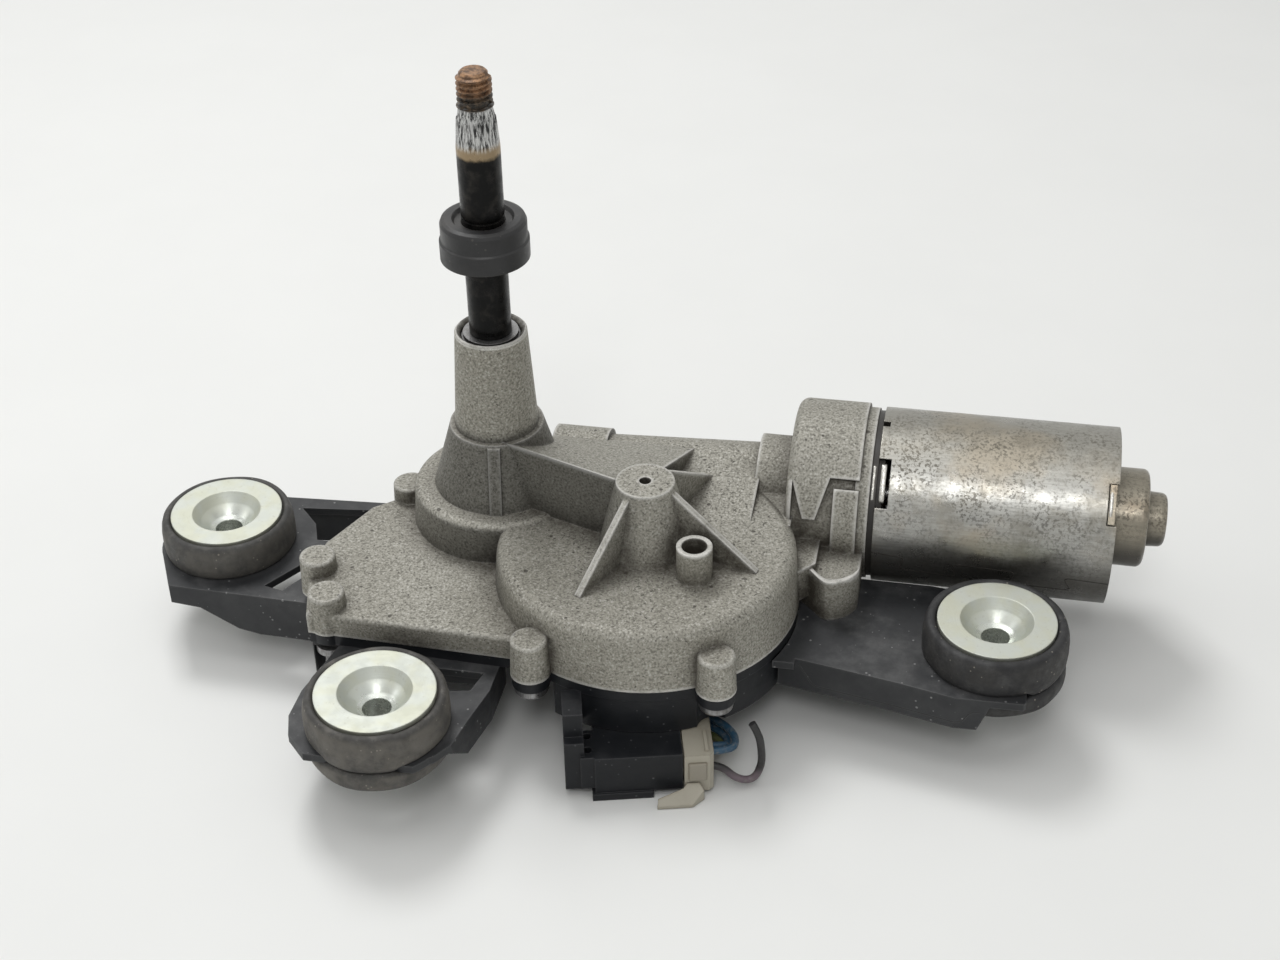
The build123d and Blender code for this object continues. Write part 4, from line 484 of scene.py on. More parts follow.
@dataclass(frozen=True)
class SpindleFinish:
    """Spindle: satin black shaft, brown dust below the knurl, bright rubbed knurl and rusty thread.

    Attributes:
        name: The material's name.
        knurl: Heights where the knurl starts and ends, in millimetres.
    """

    name: str = "spindle"
    knurl: Tuple[float, float] = (131.0, 141.0)

    def mix(self) -> bpy.types.Material:
        """Make the material."""
        r = Recipe(self.name)
        height = r.math("ADD", r.along(Axis.Z), r.math("MULTIPLY", r.noise(2.0, 3.0), 0.0016))
        dirt = r.ramp(r.noise(3.0, 4.0), 0.45, 0.75, 0.0, 0.5)
        black = r.tint(dirt, (0.010, 0.010, 0.010), (0.05, 0.045, 0.04))
        streak = r.noise(0.5, 3.0, 0.7, r.drawn(Axis.Z, 8.0))
        silver = r.tint(r.ramp(streak, 0.40, 0.56), (0.05, 0.05, 0.05), (0.62, 0.62, 0.61))
        low, high = (z * MM for z in self.knurl)
        colour = r.tint(r.ramp(height, low + 0.0006, low + 0.0016), black, silver)
        over = r.ramp(height, low - 0.0012, low)
        dust = r.math("MULTIPLY", over, r.ramp(height, low + 0.0008, low + 0.0028, 1.0, 0.0))
        colour = r.tint(r.math("MULTIPLY", dust, 0.85), colour, (0.36, 0.27, 0.165))
        rust = r.tint(r.ramp(r.noise(1.4, 4.0, 0.7), 0.4, 0.62), (0.33, 0.19, 0.105), (0.11, 0.065, 0.04))
        dark = r.tint(r.ramp(r.noise(1.0, 3.0), 0.4, 0.7), (0.03, 0.027, 0.024), (0.15, 0.11, 0.075))
        thread = r.tint(r.ramp(height, high + 0.0028, high + 0.0050), dark, rust)
        colour = r.tint(r.ramp(height, high + 0.0002, high + 0.001), colour, thread)
        r.sheet("Base Color", colour)
        r.sheet("Metallic", r.ramp(height, high, high + 0.001, 0.75, 0.35))
        r.sheet("Specular IOR Level", 0.3)
        r.sheet("Roughness", r.ramp(r.noise(2.0, 3.0), 0.3, 0.7, 0.24, 0.42))
        r.sheet("Normal", r.relief(r.noise(0.6, 3.0), 0.03, r.soften(0.12)))
        return r.material


@dataclass(frozen=True)
class InnerMetal:
    """Machined, sintered or stamped metal of the hidden pieces, with an oil film, and painted shade in its
    crevices.

    Attributes:
        name: The material's name.
        base: Colour of the metal.
        film: Colour where oil or lacquer lies.
        rough: Roughness.
        metal: Metallic share.
        marks: Direction of the machining marks.
    """

    name: str
    base: Colour
    film: Colour
    rough: float = 0.3
    metal: float = 0.9
    marks: Axis = Axis.Z

    def mix(self) -> bpy.types.Material:
        """Make the material."""
        r = Recipe(self.name)
        marks = r.noise(0.4, 2.0, 0.6, r.drawn(self.marks, 9.0))
        colour = r.tint(r.ramp(marks, 0.35, 0.65, 0.0, 0.5), self.base, self.film)
        colour = r.tint(r.ramp(r.noise(4.0, 4.0, 0.7), 0.48, 0.7, 0.0, 0.7), colour, self.film)
        # Painted shade: crevices are darkened.
        colour = r.tint(r.math("MULTIPLY", r.crevice(1.5), 0.6), colour, tuple(0.3 * c for c in self.film))
        r.sheet("Base Color", colour)
        r.sheet("Metallic", self.metal)
        r.sheet("Roughness", r.ramp(r.noise(2.0, 3.0), 0.3, 0.7, self.rough - 0.07, self.rough + 0.12))
        r.sheet("Normal", r.relief(marks, 0.02, r.soften(0.2)))
        return r.material


@dataclass(frozen=True)
class WireJacket:
    """Thin insulation of one wire, greyed by dust, and black from one height on where it is.

    Attributes:
        name: The material's name.
        base: Colour of the insulation.
        blacken: Height above which it is black, in millimetres, or none.
    """

    name: str
    base: Colour
    blacken: Optional[float] = None

    def mix(self) -> bpy.types.Material:
        """Make the material."""
        r = Recipe(self.name)
        colour = r.tint(r.ramp(r.noise(1.2, 4.0, 0.7), 0.45, 0.7, 0.05, 0.6), self.base, (0.20, 0.19, 0.17))
        if self.blacken is not None:
            low = self.blacken * MM
            colour = r.tint(r.ramp(r.along(Axis.Z), low, low + 0.003), colour, (0.018, 0.017, 0.017))
        r.sheet("Base Color", colour)
        r.sheet("Roughness", r.ramp(r.noise(0.8, 3.0), 0.3, 0.7, 0.34, 0.55))
        r.sheet("Normal", r.relief(r.noise(0.5, 3.0), 0.03))
        return r.material


@dataclass
class PhotoCamera:
    """Camera at the photograph's place.

    Attributes:
        place: The lens's place, in millimetres.
        heading: Level direction of sight.
        pitch: Angle of sight below the level, in degrees.
        roll: Turn of the picture, in degrees.
        lens: Focal length on a 36 mm wide picture.
    """

    place: Place = (112.6, -387.7, 325.0)
    heading: Tuple[float, float] = (-0.196, 0.981)
    pitch: float = 35.39
    roll: float = 1.13
    lens: float = 55.85

    def build(self) -> None:
        """Make the camera and look through it."""
        data = bpy.data.cameras.new("photo camera")
        data.lens = self.lens
        data.sensor_width = 36.0
        data.clip_start = 0.01
        camera = bpy.data.objects.new("photo camera", data)
        down = math.radians(self.pitch)
        level = Vector((*self.heading, 0.0)).normalized()
        sight = level * math.cos(down) - Vector((0, 0, 1)) * math.sin(down)
        right = level.cross(Vector((0, 0, 1)))
        up = right.cross(sight)
        turn = math.radians(self.roll)
        right, up = right * math.cos(turn) - up * math.sin(turn), up * math.cos(turn) + right * math.sin(turn)
        rows = Matrix((right, up, -sight)).transposed()
        camera.matrix_world = Matrix.Translation(Vector(self.place) * MM) @ rows.to_4x4()
        bpy.context.scene.collection.objects.link(camera)
        bpy.context.scene.camera = camera


@dataclass
class Studio:
    """Pale floor and soft lamps.

    Attributes:
        floor: Colour of the floor.
        air: Strength of the even light.
        sky: Colour that the camera and shiny pieces see past the floor.
        lamps: Name, place and side in millimetres, and power in watts of each lamp.
        reach: Half the floor's side, in metres.
        drop: How far the floor lies below the part, in metres.
        aim: Point in metres that the lamps face.
    """

    floor: Colour = (0.80, 0.805, 0.79)
    air: float = 0.42
    sky: Colour = (0.80, 0.805, 0.79)
    lamps: Sequence[Tuple[str, Place, float, float]] = (
        ("key lamp", (-290.0, 430.0, 1020.0), 380.0, 5.2),
        ("overhead lamp", (-60.0, -100.0, 1000.0), 700.0, 1.7),
        ("front lamp", (120.0, -720.0, 900.0), 300.0, 2.0),
        ("side lamp", (-800.0, -60.0, 520.0), 400.0, 0.9),
    )
    reach: float = 2.5
    drop: float = 0.0001
    aim: Place = (0.03, 0.0, 0.03)

    def build(self) -> None:
        """Make the floor, the world and the lamps."""
        mesh = bpy.data.meshes.new("floor")
        corners = [(x * self.reach, y * self.reach, 0) for x, y in ((-1, -1), (1, -1), (1, 1), (-1, 1))]
        mesh.from_pydata(corners, [], [(0, 1, 2, 3)])
        floor = bpy.data.objects.new("floor", mesh)
        floor.location.z = -self.drop
        bpy.context.scene.collection.objects.link(floor)
        recipe = Recipe("floor paper")
        clouds = recipe.ramp(recipe.noise(60.0, 3.0), 0.3, 0.7)
        recipe.sheet("Base Color", recipe.tint(clouds, self.floor, tuple(0.985 * c for c in self.floor)))
        recipe.sheet("Roughness", 0.65)
        recipe.sheet("Specular IOR Level", 0.3)
        mesh.materials.append(recipe.material)
        self.light_air()
        for name, place, size, power in self.lamps:
            self.hang(name, place, size, power)

    def light_air(self) -> None:
        """Even light from all round, with the pale backdrop behind it."""
        world = bpy.data.worlds.new("studio air")
        bpy.context.scene.world = world
        world.use_nodes = True
        nodes, links = world.node_tree.nodes, world.node_tree.links
        lit = nodes["Background"]
        lit.inputs["Color"].default_value = (1.0, 1.0, 0.99, 1.0)
        lit.inputs["Strength"].default_value = self.air
        seen = nodes.new("ShaderNodeBackground")
        seen.inputs["Color"].default_value = (*self.sky, 1.0)
        path = nodes.new("ShaderNodeLightPath")
        either = nodes.new("ShaderNodeMath")
        either.operation = "MAXIMUM"
        links.new(path.outputs["Is Camera Ray"], either.inputs[0])
        links.new(path.outputs["Is Glossy Ray"], either.inputs[1])
        blend = nodes.new("ShaderNodeMixShader")
        links.new(either.outputs[0], blend.inputs[0])
        links.new(lit.outputs[0], blend.inputs[1])
        links.new(seen.outputs[0], blend.inputs[2])
        links.new(blend.outputs[0], nodes["World Output"].inputs[0])

    def hang(self, name: str, place: Place, size: float, power: float) -> None:
        """Hang one square lamp that faces the part.

        Args:
            name: The lamp's name.
            place: Its place in millimetres.
            size: Its side in millimetres.
            power: Its power in watts.
        """
        data = bpy.data.lights.new(name, "AREA")
        data.size = size * MM
        data.energy = power
        lamp = bpy.data.objects.new(name, data)
        spot = Vector(place) * MM
        lamp.location = spot
        lamp.rotation_euler = (Vector(self.aim) - spot).to_track_quat("-Z", "Y").to_euler()
        bpy.context.scene.collection.objects.link(lamp)


def new_piece(name: str, build: Callable[[bmesh.types.BMesh], None], body: Body,
              material: bpy.types.Material) -> bpy.types.Object:
    """Make one dressed piece.

    Args:
        name: The piece's name.
        build: Adds its faces to an empty mesh, in metres.
        body: The body that it rides on.
        material: Its material.

    Returns:
        The piece.
    """
    shape = bmesh.new()
    build(shape)
    bmesh.ops.recalc_face_normals(shape, faces=shape.faces)
    mesh = bpy.data.meshes.new(name)
    shape.to_mesh(mesh)
    shape.free()
    mesh.materials.append(material)
    for face in mesh.polygons:
        face.use_smooth = True
    piece = bpy.data.objects.new(name, mesh)
    bpy.context.scene.collection.objects.link(piece)
    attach(piece, body.value)
    log.info("piece %s: %d faces", name, len(mesh.polygons))
    return piece


@dataclass
class Harness:
    """Cut wires that leave the plug.

    Attributes:
        diameter: Outer diameter of a wire, in millimetres.
        turn: Turn of the connector about +Z, in degrees.
        corner: The connector's own origin, in millimetres.
        face: Distance of the plug's right face along the connector.
        socket: Depth of the wire holes.
        lengths: Length of each wire along its curve; not used.
    """

    diameter: float = 1.8
    turn: float = 14.5
    corner: Tuple[float, float] = (36.4, -65.6)
    face: float = 27.3
    socket: float = 2.0
    lengths: Dict[str, float] = field(default_factory=lambda: {
        "wire_blue_a": 31.3, "wire_blue_b": 30.1, "wire_green": 31.9, "wire_white": 30.7, "wire_violet": 30.6})

    def leaving(self, y: float, z: float, out: float) -> List[Place]:
        """Bottom of a wire hole and a point straight out of it.

        Args:
            y: The hole's place across the plug.
            z: Its height.
            out: How far the second point stands out.

        Returns:
            The two points, in millimetres.
        """
        a = math.radians(self.turn)
        return [(self.corner[0] + x * math.cos(a) - y * math.sin(a),
                 self.corner[1] + x * math.sin(a) + y * math.cos(a), z)
                for x in (self.face - self.socket, self.face + out)]

    def routes(self) -> Dict[str, List[Place]]:
        """Course of each wire from the bottom of its hole to its cut end.

        Returns:
            The control points by the wire's node, in millimetres.
        """
        return {
            "wire_blue_a": self.leaving(2.9, 10.2, 1.4) + [
                (66.9, -53.6, 9.9), (66.4, -49.6, 9.8), (63.6, -46.2, 9.6), (58.8, -43.2, 9.3),
                (54.0, -40.6, 8.8), (50.2, -37.6, 8.2)],
            "wire_blue_b": self.leaving(5.0, 9.9, 1.0) + [
                (64.9, -51.8, 8.6), (64.4, -48.6, 8.0), (61.4, -45.2, 7.2), (56.8, -42.4, 6.7),
                (51.6, -40.2, 6.2), (46.4, -39.2, 5.8)],
            "wire_green": self.leaving(6.6, 7.4, 0.9) + [
                (64.6, -50.4, 6.0), (63.4, -47.2, 5.0), (59.8, -44.2, 4.3), (54.4, -41.6, 3.7),
                (48.6, -39.6, 3.3), (43.0, -38.6, 3.2)],
            "wire_white": self.leaving(9.6, 4.4, 0.9) + [
                (63.4, -47.4, 2.4), (61.6, -44.4, 1.6), (57.4, -42.4, 1.4), (51.8, -41.6, 1.2),
                (46.2, -42.0, 1.2), (40.8, -43.4, 1.2)],
            "wire_violet": self.leaving(2.6, 6.2, 1.6) + [
                (67.8, -56.6, 2.9), (71.6, -55.0, 1.8), (73.3, -54.4, 6.4), (73.2, -55.0, 11.8),
                (72.6, -55.6, 16.6), (70.9, -55.2, 19.4)],
        }

    def curve(self, name: str, points: Sequence[Place]) -> bpy.types.Curve:
        """Round wire along a smooth course.

        Args:
            name: The curve's name.
            points: Its control points, in millimetres.

        Returns:
            The curve.
        """
        curve = bpy.data.curves.new(name, "CURVE")
        curve.dimensions = "3D"
        curve.bevel_depth = self.diameter / 2 * MM
        curve.bevel_resolution = 5
        curve.resolution_u = 10
        curve.use_fill_caps = True
        spline = curve.splines.new("NURBS")
        spline.points.add(len(points) - 1)
        for spot, place in zip(spline.points, points):
            spot.co = (*(c * MM for c in place), 1.0)
        spline.order_u = 3
        spline.use_endpoint_u = True
        return curve

    def build(self, finishes: Dict[str, bpy.types.Material]) -> None:
        """Lay the five wires.

        Args:
            finishes: The wires' materials by their slots.
        """
        slots = {"wire_blue_a": "wire_blue", "wire_blue_b": "wire_blue"}
        for node, points in self.routes().items():
            slot = slots.get(node, node)
            curve = self.curve(node.replace("wire_", "") + "_lead", points)
            lead = bpy.data.objects.new(curve.name, curve)
            bpy.context.scene.collection.objects.link(lead)
            curve.materials.append(finishes[slot])
            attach(lead, Body.PLUG.value)
            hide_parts(node)
            log.info("cord %s: %d points", curve.name, len(points))


@dataclass
class Dampers:
    """The three rubber dampers with their lips, the slot for the bracket and a little unevenness.

    Attributes:
        middles: Axes of the dampers, in millimetres.
        plate_ends: Side and distance at which the bracket's plate ends inside a damper's slot.
        outer: Outer radius.
        neck: Radius in the slot.
        bore: Radius round the sleeve.
        low: Height of the underside.
        slot: Heights of the slot's floor and roof.
        seat: Height of the washer's seat.
        top: Height of the rim.
        lip: Inner radius of the rim, round the washer.
        cup: Radii of the cup in the seat, at its mouth, its wall and its floor.
        closing: How far each lip closes the slot past the plate's end.
        wider: How much more each damper swells.
        worn: Damper whose rim is worn, how far in millimetres, and the degrees between which it isn't.
        steps: Number of sections round a damper.
        seed: Start of the random draws.
    """

    middles: Dict[str, Tuple[float, float]] = field(default_factory=lambda: {
        "a": (-68.5, -12.4), "b": (-11.8, -71.6), "c": (123.5, -23.8)})
    plate_ends: Dict[str, Tuple[float, float]] = field(default_factory=lambda: {
        "b": (-90.0, 12.7), "c": (0.0, 8.0)})
    outer: float = 16.4
    neck: float = 11.0
    bore: float = 4.8
    low: float = 15.7
    slot: Tuple[float, float] = (20.0, 22.0)
    seat: float = 30.1
    top: float = 31.0
    lip: float = 14.1
    cup: Tuple[float, float, float] = (9.3, 7.9, 5.7)
    closing: float = 0.72
    wider: Dict[str, float] = field(default_factory=lambda: {"c": 0.35})
    worn: Tuple[str, float, float, float] = ("b", 0.4, 52.0, 300.0)
    steps: int = 144
    seed: int = 71

    def plate_reach(self, letter: str, angle: float) -> float:
        """How far the bracket's plate reaches in the slot.

        Args:
            letter: The damper.
            angle: Direction from its axis, in radians.

        Returns:
            The radius, in millimetres.
        """
        if letter not in self.plate_ends:
            return self.outer
        side, distance = self.plate_ends[letter]
        across = math.cos(angle - math.radians(side))
        return min(self.outer, distance / across + 0.5) if across > 0.05 else self.outer

    def profile(self, letter: str, angle: float, swell: float, sag: float) -> List[Tuple[float, float]]:
        """Section of a damper in one direction.

        Args:
            letter: The damper.
            angle: The direction, in radians.
            swell: How much the outside stands out there.
            sag: How much the rim is worn down there.

        Returns:
            Radius and height of each point, in millimetres.
        """
        r, (floor, roof), top = self.outer + swell, self.slot, self.top - sag
        reach = self.plate_reach(letter, angle)
        close = self.closing * min(1.0, max(0.0, (self.outer - 0.6 - reach) / 0.8))
        start = min(reach, r - 1.0)
        return [
            (self.bore, self.low), (r - 1.1, self.low), (r - 0.4, self.low + 0.3), (r, self.low + 1.1),
            (r + 0.12, self.low + 2.4), (r, floor - 0.7 + close * 0.6), (r - 0.5, floor - 0.1 + close),
            (r - 0.9, floor + close), (start + 0.1, floor + close), (start, floor), (self.neck, floor),
            (self.neck, roof), (start, roof), (start + 0.1, roof - close), (r - 0.9, roof - close),
            (r - 0.35, roof + 0.15 - close), (r, roof + 0.8 - close * 0.6), (r + 0.15, roof + 3.0),
            (r + 0.1, roof + 5.6), (r - 0.15, roof + 7.4), (r - 0.55, top - 0.35), (r - 1.05, top + 0.02),
            (self.lip + 0.75, top + 0.1), (self.lip + 0.3, top - 0.08), (self.lip + 0.04, top - 0.4),
            (self.lip, self.seat), (self.cup[0], self.seat), (self.cup[1], self.seat - 2.2),
            (self.cup[2], self.seat - 4.6), (self.bore, self.seat - 4.6),
        ]

    def sag(self, letter: str, angle: float) -> float:
        """How much the rim is worn down in one direction."""
        worn, depth, low, high = self.worn
        return depth if letter == worn and not low <= math.degrees(angle) <= high else 0.0

    def shape(self, mesh: bmesh.types.BMesh, letter: str, seed: int) -> None:
        """Lay the sections of a damper side by side and join them.

        Args:
            mesh: The mesh that takes its faces, in metres.
            letter: The damper.
            seed: Start of its random draws.
        """
        draw = random.Random(seed)
        waves = [(draw.randint(2, 9), draw.uniform(0.0, 6.28), draw.uniform(0.02, 0.07)) for _ in range(6)]
        x, y = self.middles[letter]
        rings = []
        for step in range(self.steps):
            angle = 2 * math.pi * step / self.steps
            uneven = sum(size * math.sin(count * angle + phase) for count, phase, size in waves)
            swell = self.wider.get(letter, 0.0) + uneven
            out = math.cos(angle), math.sin(angle)
            rings.append([mesh.verts.new(((x + r * out[0]) * MM, (y + r * out[1]) * MM, z * MM))
                          for r, z in self.profile(letter, angle, swell, self.sag(letter, angle))])
        for one, two in zip(rings, rings[1:] + rings[:1]):
            for i, low in enumerate(one):
                j = (i + 1) % len(one)
                mesh.faces.new((low, two[i], two[j], one[j]))

    def build(self, finishes: Dict[str, bpy.types.Material]) -> None:
        """Make the three dampers.

        Args:
            finishes: The materials by slot.
        """
        for seed, letter in enumerate(self.middles, self.seed):
            shape = partial(self.shape, letter=letter, seed=seed)
            rubber = new_piece("damper_" + letter, shape, Body.HOUSING,
                               finishes["damper_rubber_" + letter])
            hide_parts("rubber_damper_" + letter)


def ribbon(mesh: bmesh.types.BMesh, path: Sequence[Tuple[float, float]], width: float,
           place: Callable[[float, float, float], Place], height: float, step: float = 0.8) -> None:
    """Lay a low ridge or a line along a path on a surface.

    Args:
        mesh: The mesh that takes its faces, in metres.
        path: The path in the surface's own two measures, in millimetres.
        width: Width of the ribbon.
        place: Gives a point for two measures and a height over the surface.
        height: Height of the ribbon's middle over the surface.
        step: Longest stretch between two rows of points.
    """
    sunk = -0.05
    section = ((-1.0, sunk), (-0.55, height), (0.55, height), (1.0, sunk))
    spots: List[Tuple[float, float]] = []
    for (u0, v0), (u1, v1) in zip(path, path[1:]):
        parts = max(1, int(math.hypot(u1 - u0, v1 - v0) / step))
        spots += [(u0 + (u1 - u0) * i / parts, v0 + (v1 - v0) * i / parts) for i in range(parts)]
    spots.append(path[-1])
    rows = []
    for i, (u, v) in enumerate(spots):
        before, after = spots[max(0, i - 1)], spots[min(len(spots) - 1, i + 1)]
        du, dv = after[0] - before[0], after[1] - before[1]
        size = math.hypot(du, dv) or 1.0
        across = (-dv / size * width / 2, du / size * width / 2)
        rows.append([mesh.verts.new(tuple(c * MM for c in place(u + across[0] * k, v + across[1] * k, up)))
                     for k, up in section])
    for one, two in zip(rows, rows[1:]):
        for i in range(3):
            mesh.faces.new((one[i], one[i + 1], two[i + 1], two[i]))


@dataclass
class CanDetails:
    """What the motor's sheet shows from outside: the locked seam and the bent tabs in its notches.

    Attributes:
        start: Where the sheet begins along the motor, in millimetres.
        radius: Its outer radius.
        axis: Depth and height of the motor's axis.
        seam_angle: Angle of the seam's first point, from the top towards the front, in degrees.
        seam: The seam's path: along the motor, and round the sheet below that angle.
        seam_width: Width of the seam's line.
        tab_angle: Angle of the middle of the tabs.
        tab_length: Length of a tab round the sheet.
        tabs: Sides of each tab along the motor, and the height of its face over the sheet.
        tab_root: Depth of a tab's sides below the sheet.
        tab_drop: How much lower a tab's two ends lie.
        tab_steps: Number of stretches along a tab.
    """

    start: float = 92.5
    radius: float = 21.6
    axis: Tuple[float, float] = (16.8, 35.0)
    seam_angle: float = 96.0
    seam: Sequence[Tuple[float, float]] = (
        (0.0, 0.0), (6.6, 0.7), (7.7, 1.2), (7.1, 4.6), (7.6, 5.3), (19.2, 6.3), (20.2, 5.6), (20.0, 2.0),
        (20.8, 1.4), (33.4, 2.1), (34.2, 2.8), (33.2, 6.2), (33.9, 6.9), (46.6, 7.4), (47.6, 6.6), (46.2, 3.1),
        (46.8, 2.5), (56.4, 3.1))
    seam_width: float = 0.42
    tab_angle: float = 48.0
    tab_length: float = 9.6
    tabs: Dict[str, Tuple[float, float, float]] = field(default_factory=lambda: {
        "flange_tab": (0.75, 2.15, 0.1), "flange_tab_lip": (-1.35, -0.35, -0.9),
        "cap_tab_edge": (54.35, 55.35, 0.0)})
    tab_root: float = 1.4
    tab_drop: float = 0.35
    tab_steps: int = 16

    def on_sheet(self, along: float, arc: float, up: float) -> Place:
        """Point on the sheet.

        Args:
            along: Distance along the motor from where the sheet begins.
            arc: Distance round the sheet from the seam's first point, downwards.
            up: Height over the sheet.

        Returns:
            The point, in millimetres.
        """
        angle = math.radians(self.seam_angle) + arc / self.radius
        reach = self.radius + up
        y, z = self.axis
        return self.start + along, y - reach * math.sin(angle), z + reach * math.cos(angle)

    def build(self, finishes: Dict[str, bpy.types.Material]) -> None:
        """Make the seam and the tabs.

        Args:
            finishes: The materials by slot.
        """
        seam = partial(ribbon, path=self.seam, width=self.seam_width, place=self.on_sheet, height=0.05,
                       step=0.5)
        new_piece("can_seam", seam, Body.HOUSING, finishes["seam_grime"])
        for name, (low, high, lift) in self.tabs.items():
            new_piece(name, partial(self.tab, low=low, high=high, lift=lift), Body.HOUSING,
                      finishes["tab_steel"])

    def tab(self, mesh: bmesh.types.BMesh, low: float, high: float, lift: float) -> None:
        """Bent tab: a short curved strip with rounded edges and ends.

        Args:
            mesh: The mesh that takes its faces.
            low: Its side towards the gears, along the motor.
            high: Its side towards the cap.
            lift: Height of its face over the sheet.
        """
        section = [(low, -self.tab_root), (low, lift - 0.35), (low + 0.12, lift - 0.08), (low + 0.32, lift),
                   (high - 0.32, lift), (high - 0.12, lift - 0.08), (high, lift - 0.35),
                   (high, -self.tab_root)]
        start = math.radians(self.tab_angle - self.seam_angle) * self.radius - self.tab_length / 2
        rows = []
        for step in range(self.tab_steps + 1):
            arc = start + self.tab_length * step / self.tab_steps
            drop = self.tab_drop if step in (0, self.tab_steps) else 0.0
            rows.append([mesh.verts.new(tuple(c * MM for c in self.on_sheet(x, arc, up - drop)))
                         for x, up in section])
        for one, two in zip(rows, rows[1:]):
            for i in range(len(section) - 1):
                mesh.faces.new((one[i], one[i + 1], two[i + 1], two[i]))
        mesh.faces.new(rows[0])
        mesh.faces.new(list(reversed(rows[-1])))


@dataclass
class BracketDetails:
    """Moulded groove on the right arm's skirt, shown as a thin near-black line of painted shade.

    Attributes:
        groove: The groove's path: along X, and height, in millimetres.
        width: Width of the groove's line.
        before: A place in front of the skirt, from which it is felt for.
        faces: The bracket's own faces.
    """

    groove: Sequence[Tuple[float, float]] = (
        (79.0, 20.4), (82.0, 15.8), (83.0, 15.0), (104.0, 14.8), (116.0, 14.8), (117.6, 15.2), (118.8, 17.4),
        (119.8, 18.2), (121.4, 18.4))
    width: float = 0.45
    before: float = -80.0
    faces: BVHTree = field(init=False, repr=False)

    def __post_init__(self) -> None:
        """Ready the bracket's own faces for feeling."""
        bracket = frame["nodes"]["mounting_bracket"]
        self.faces = BVHTree.FromPolygons([v.co for v in bracket.data.vertices],
                                          [tuple(face.vertices) for face in bracket.data.polygons])

    def on_skirt(self, x: float, z: float, up: float) -> Place:
        """Point on the skirt's front face.

        Args:
            x: Place along X.
            z: Height.
            up: How far it stands out of the face.

        Returns:
            The point, in millimetres.
        """
        hit, normal = self.faces.ray_cast(Vector((x, self.before, z)) * MM, Vector((0.0, 1.0, 0.0)))[:2]
        if hit is None:
            raise ValueError("the skirt has no face at x %.1f, z %.1f" % (x, z))
        return tuple(hit / MM + normal * up)

    def build(self, finishes: Dict[str, bpy.types.Material]) -> None:
        """Make the groove's line.

        Args:
            finishes: The materials by slot.
        """
        # Painted shade: the groove is a thin raised line, coloured near-black for the shade inside it.
        line = partial(ribbon, path=self.groove, width=self.width, place=self.on_skirt, height=0.06)
        new_piece("skirt_groove", line, Body.HOUSING, finishes["groove_shade"])


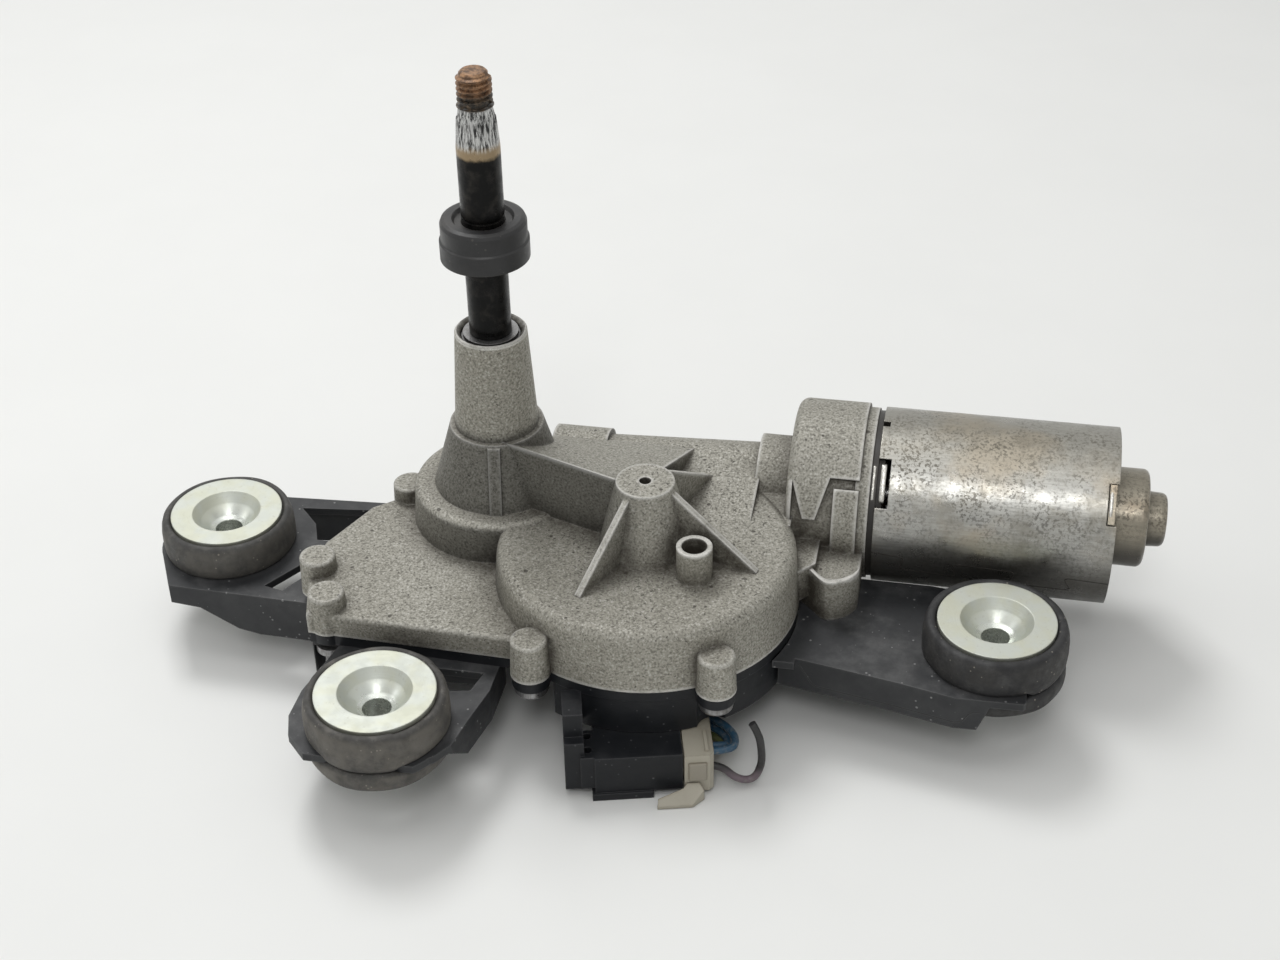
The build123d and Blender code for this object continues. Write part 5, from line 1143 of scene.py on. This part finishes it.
def all_finishes() -> Dict[str, bpy.types.Material]:
    """Every finish by the record's material slot.

    Returns:
        The materials.
    """
    steel: Colour = (0.56, 0.56, 0.55)
    kinds = {
        "cast_housing": CastAluminium(),
        "zinc_steel": ZincSheet(),
        "cap_steel": ZincSheet("lacquered cap", (0.31, 0.28, 0.225), (0.25, 0.19, 0.13),
                               (0.04, 0.033, 0.025)),
        "black_cover": MouldedPlastic("cover plastic", (0.009, 0.010, 0.012), (0.08, 0.08, 0.085),
                                      0.38, 0.25, 0.5, 0.28),
        "bracket_black": MouldedPlastic("bracket coating", (0.017, 0.018, 0.020), (0.15, 0.15, 0.15),
                                        0.46, 0.4, 0.8, 0.45),
        "seal_rubber": SoftRubber("seal rubber", (0.02, 0.02, 0.02)),
        "damper_rubber": SoftRubber("damper rubber"),
        "damper_rubber_a": SoftRubber("grey rubber", (0.040, 0.039, 0.037), (0.11, 0.105, 0.095), 0.55),
        "damper_rubber_b": SoftRubber("browned rubber", (0.045, 0.043, 0.040), (0.14, 0.13, 0.115), 0.85),
        "damper_rubber_c": SoftRubber("black rubber", (0.014, 0.014, 0.015), (0.05, 0.05, 0.05), 0.12),
        "seam_grime": InnerMetal("seam grime", (0.035, 0.031, 0.026), (0.02, 0.018, 0.015), 0.6, 0.1),
        "tab_steel": InnerMetal("bent steel", (0.62, 0.61, 0.58), (0.22, 0.2, 0.17), 0.3, 0.85, Axis.Y),
        # Painted shade of the skirt's groove.
        "groove_shade": MouldedPlastic("groove painted shade", (0.004, 0.004, 0.005), (0.03, 0.03, 0.03),
                                       0.5, 0.2, 0.1),
        "collar_black": MouldedPlastic("collar plastic", (0.014, 0.014, 0.015), (0.10, 0.09, 0.08),
                                       0.4, 0.3, 0.25),
        "spindle_steel": SpindleFinish(),
        "hard_steel": InnerMetal("ground steel", steel, (0.30, 0.29, 0.27), 0.25),
        "spring_steel": InnerMetal("spring steel", (0.34, 0.34, 0.345), (0.16, 0.15, 0.14), 0.32),
        "bronze": InnerMetal("sintered bronze", (0.50, 0.33, 0.17), (0.30, 0.18, 0.09), 0.42),
        "copper": InnerMetal("copper", (0.66, 0.31, 0.17), (0.38, 0.16, 0.08), 0.3),
        "wheel_plastic": MouldedPlastic("natural nylon", (0.66, 0.60, 0.45), (0.42, 0.33, 0.2),
                                        0.38, 0.5, 0.1),
        "dark_iron": InnerMetal("dark iron", (0.13, 0.13, 0.135), (0.07, 0.065, 0.06), 0.55, 0.6),
        "holder_black": MouldedPlastic("holder plastic", (0.02, 0.018, 0.016), (0.09, 0.08, 0.07),
                                       0.5, 0.3, 0.1),
        "green_board": MouldedPlastic("board lacquer", (0.02, 0.13, 0.06), (0.1, 0.2, 0.12), 0.3, 0.2, 0.1),
        "component_black": MouldedPlastic("component plastic", (0.02, 0.02, 0.022), (0.1, 0.1, 0.1),
                                          0.4, 0.2, 0.1),
        "plug_grey": MouldedPlastic("plug plastic", (0.39, 0.365, 0.30), (0.26, 0.22, 0.16), 0.5, 0.45, 0.3),
        "lock_grey": MouldedPlastic("lock plastic", (0.29, 0.265, 0.215), (0.17, 0.14, 0.10), 0.45, 0.5, 0.3),
        "wire_blue": WireJacket("blue jacket", (0.010, 0.060, 0.115)),
        "wire_green": WireJacket("green jacket", (0.13, 0.15, 0.045)),
        "wire_white": WireJacket("white jacket", (0.58, 0.56, 0.50)),
        "wire_violet": WireJacket("violet jacket", (0.13, 0.095, 0.115), 3.4),
    }
    return {slot: kind.mix() for slot, kind in kinds.items()}


def dress_nodes(finishes: Dict[str, bpy.types.Material]) -> None:
    """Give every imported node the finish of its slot.

    Args:
        finishes: The materials by slot.
    """
    for entry in frame["record"]["subparts"]:
        node = frame["nodes"][entry["node"]]
        slot = entry["material_slot"]
        if slot == "washer_steel":
            low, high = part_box(entry["node"])
            middle = (low + high) / 2 / MM
            material = ZincWasher("zinc washer " + entry["node"][-1], (middle.x, middle.y)).mix()
        else:
            material = finishes[slot]
        node.data.materials.clear()
        node.data.materials.append(material)
        log.info("node %s: %s", entry["node"], material.name)


def main() -> None:
    """Build the scene in its order."""
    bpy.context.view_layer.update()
    PhotoCamera().build()
    finishes = all_finishes()
    Harness().build(finishes)
    dress_nodes(finishes)
    Dampers().build(finishes)
    CanDetails().build(finishes)
    BracketDetails().build(finishes)
    Studio().build()
    bpy.context.scene.view_settings.view_transform = "Standard"


if __name__ == "__main__":
    main()
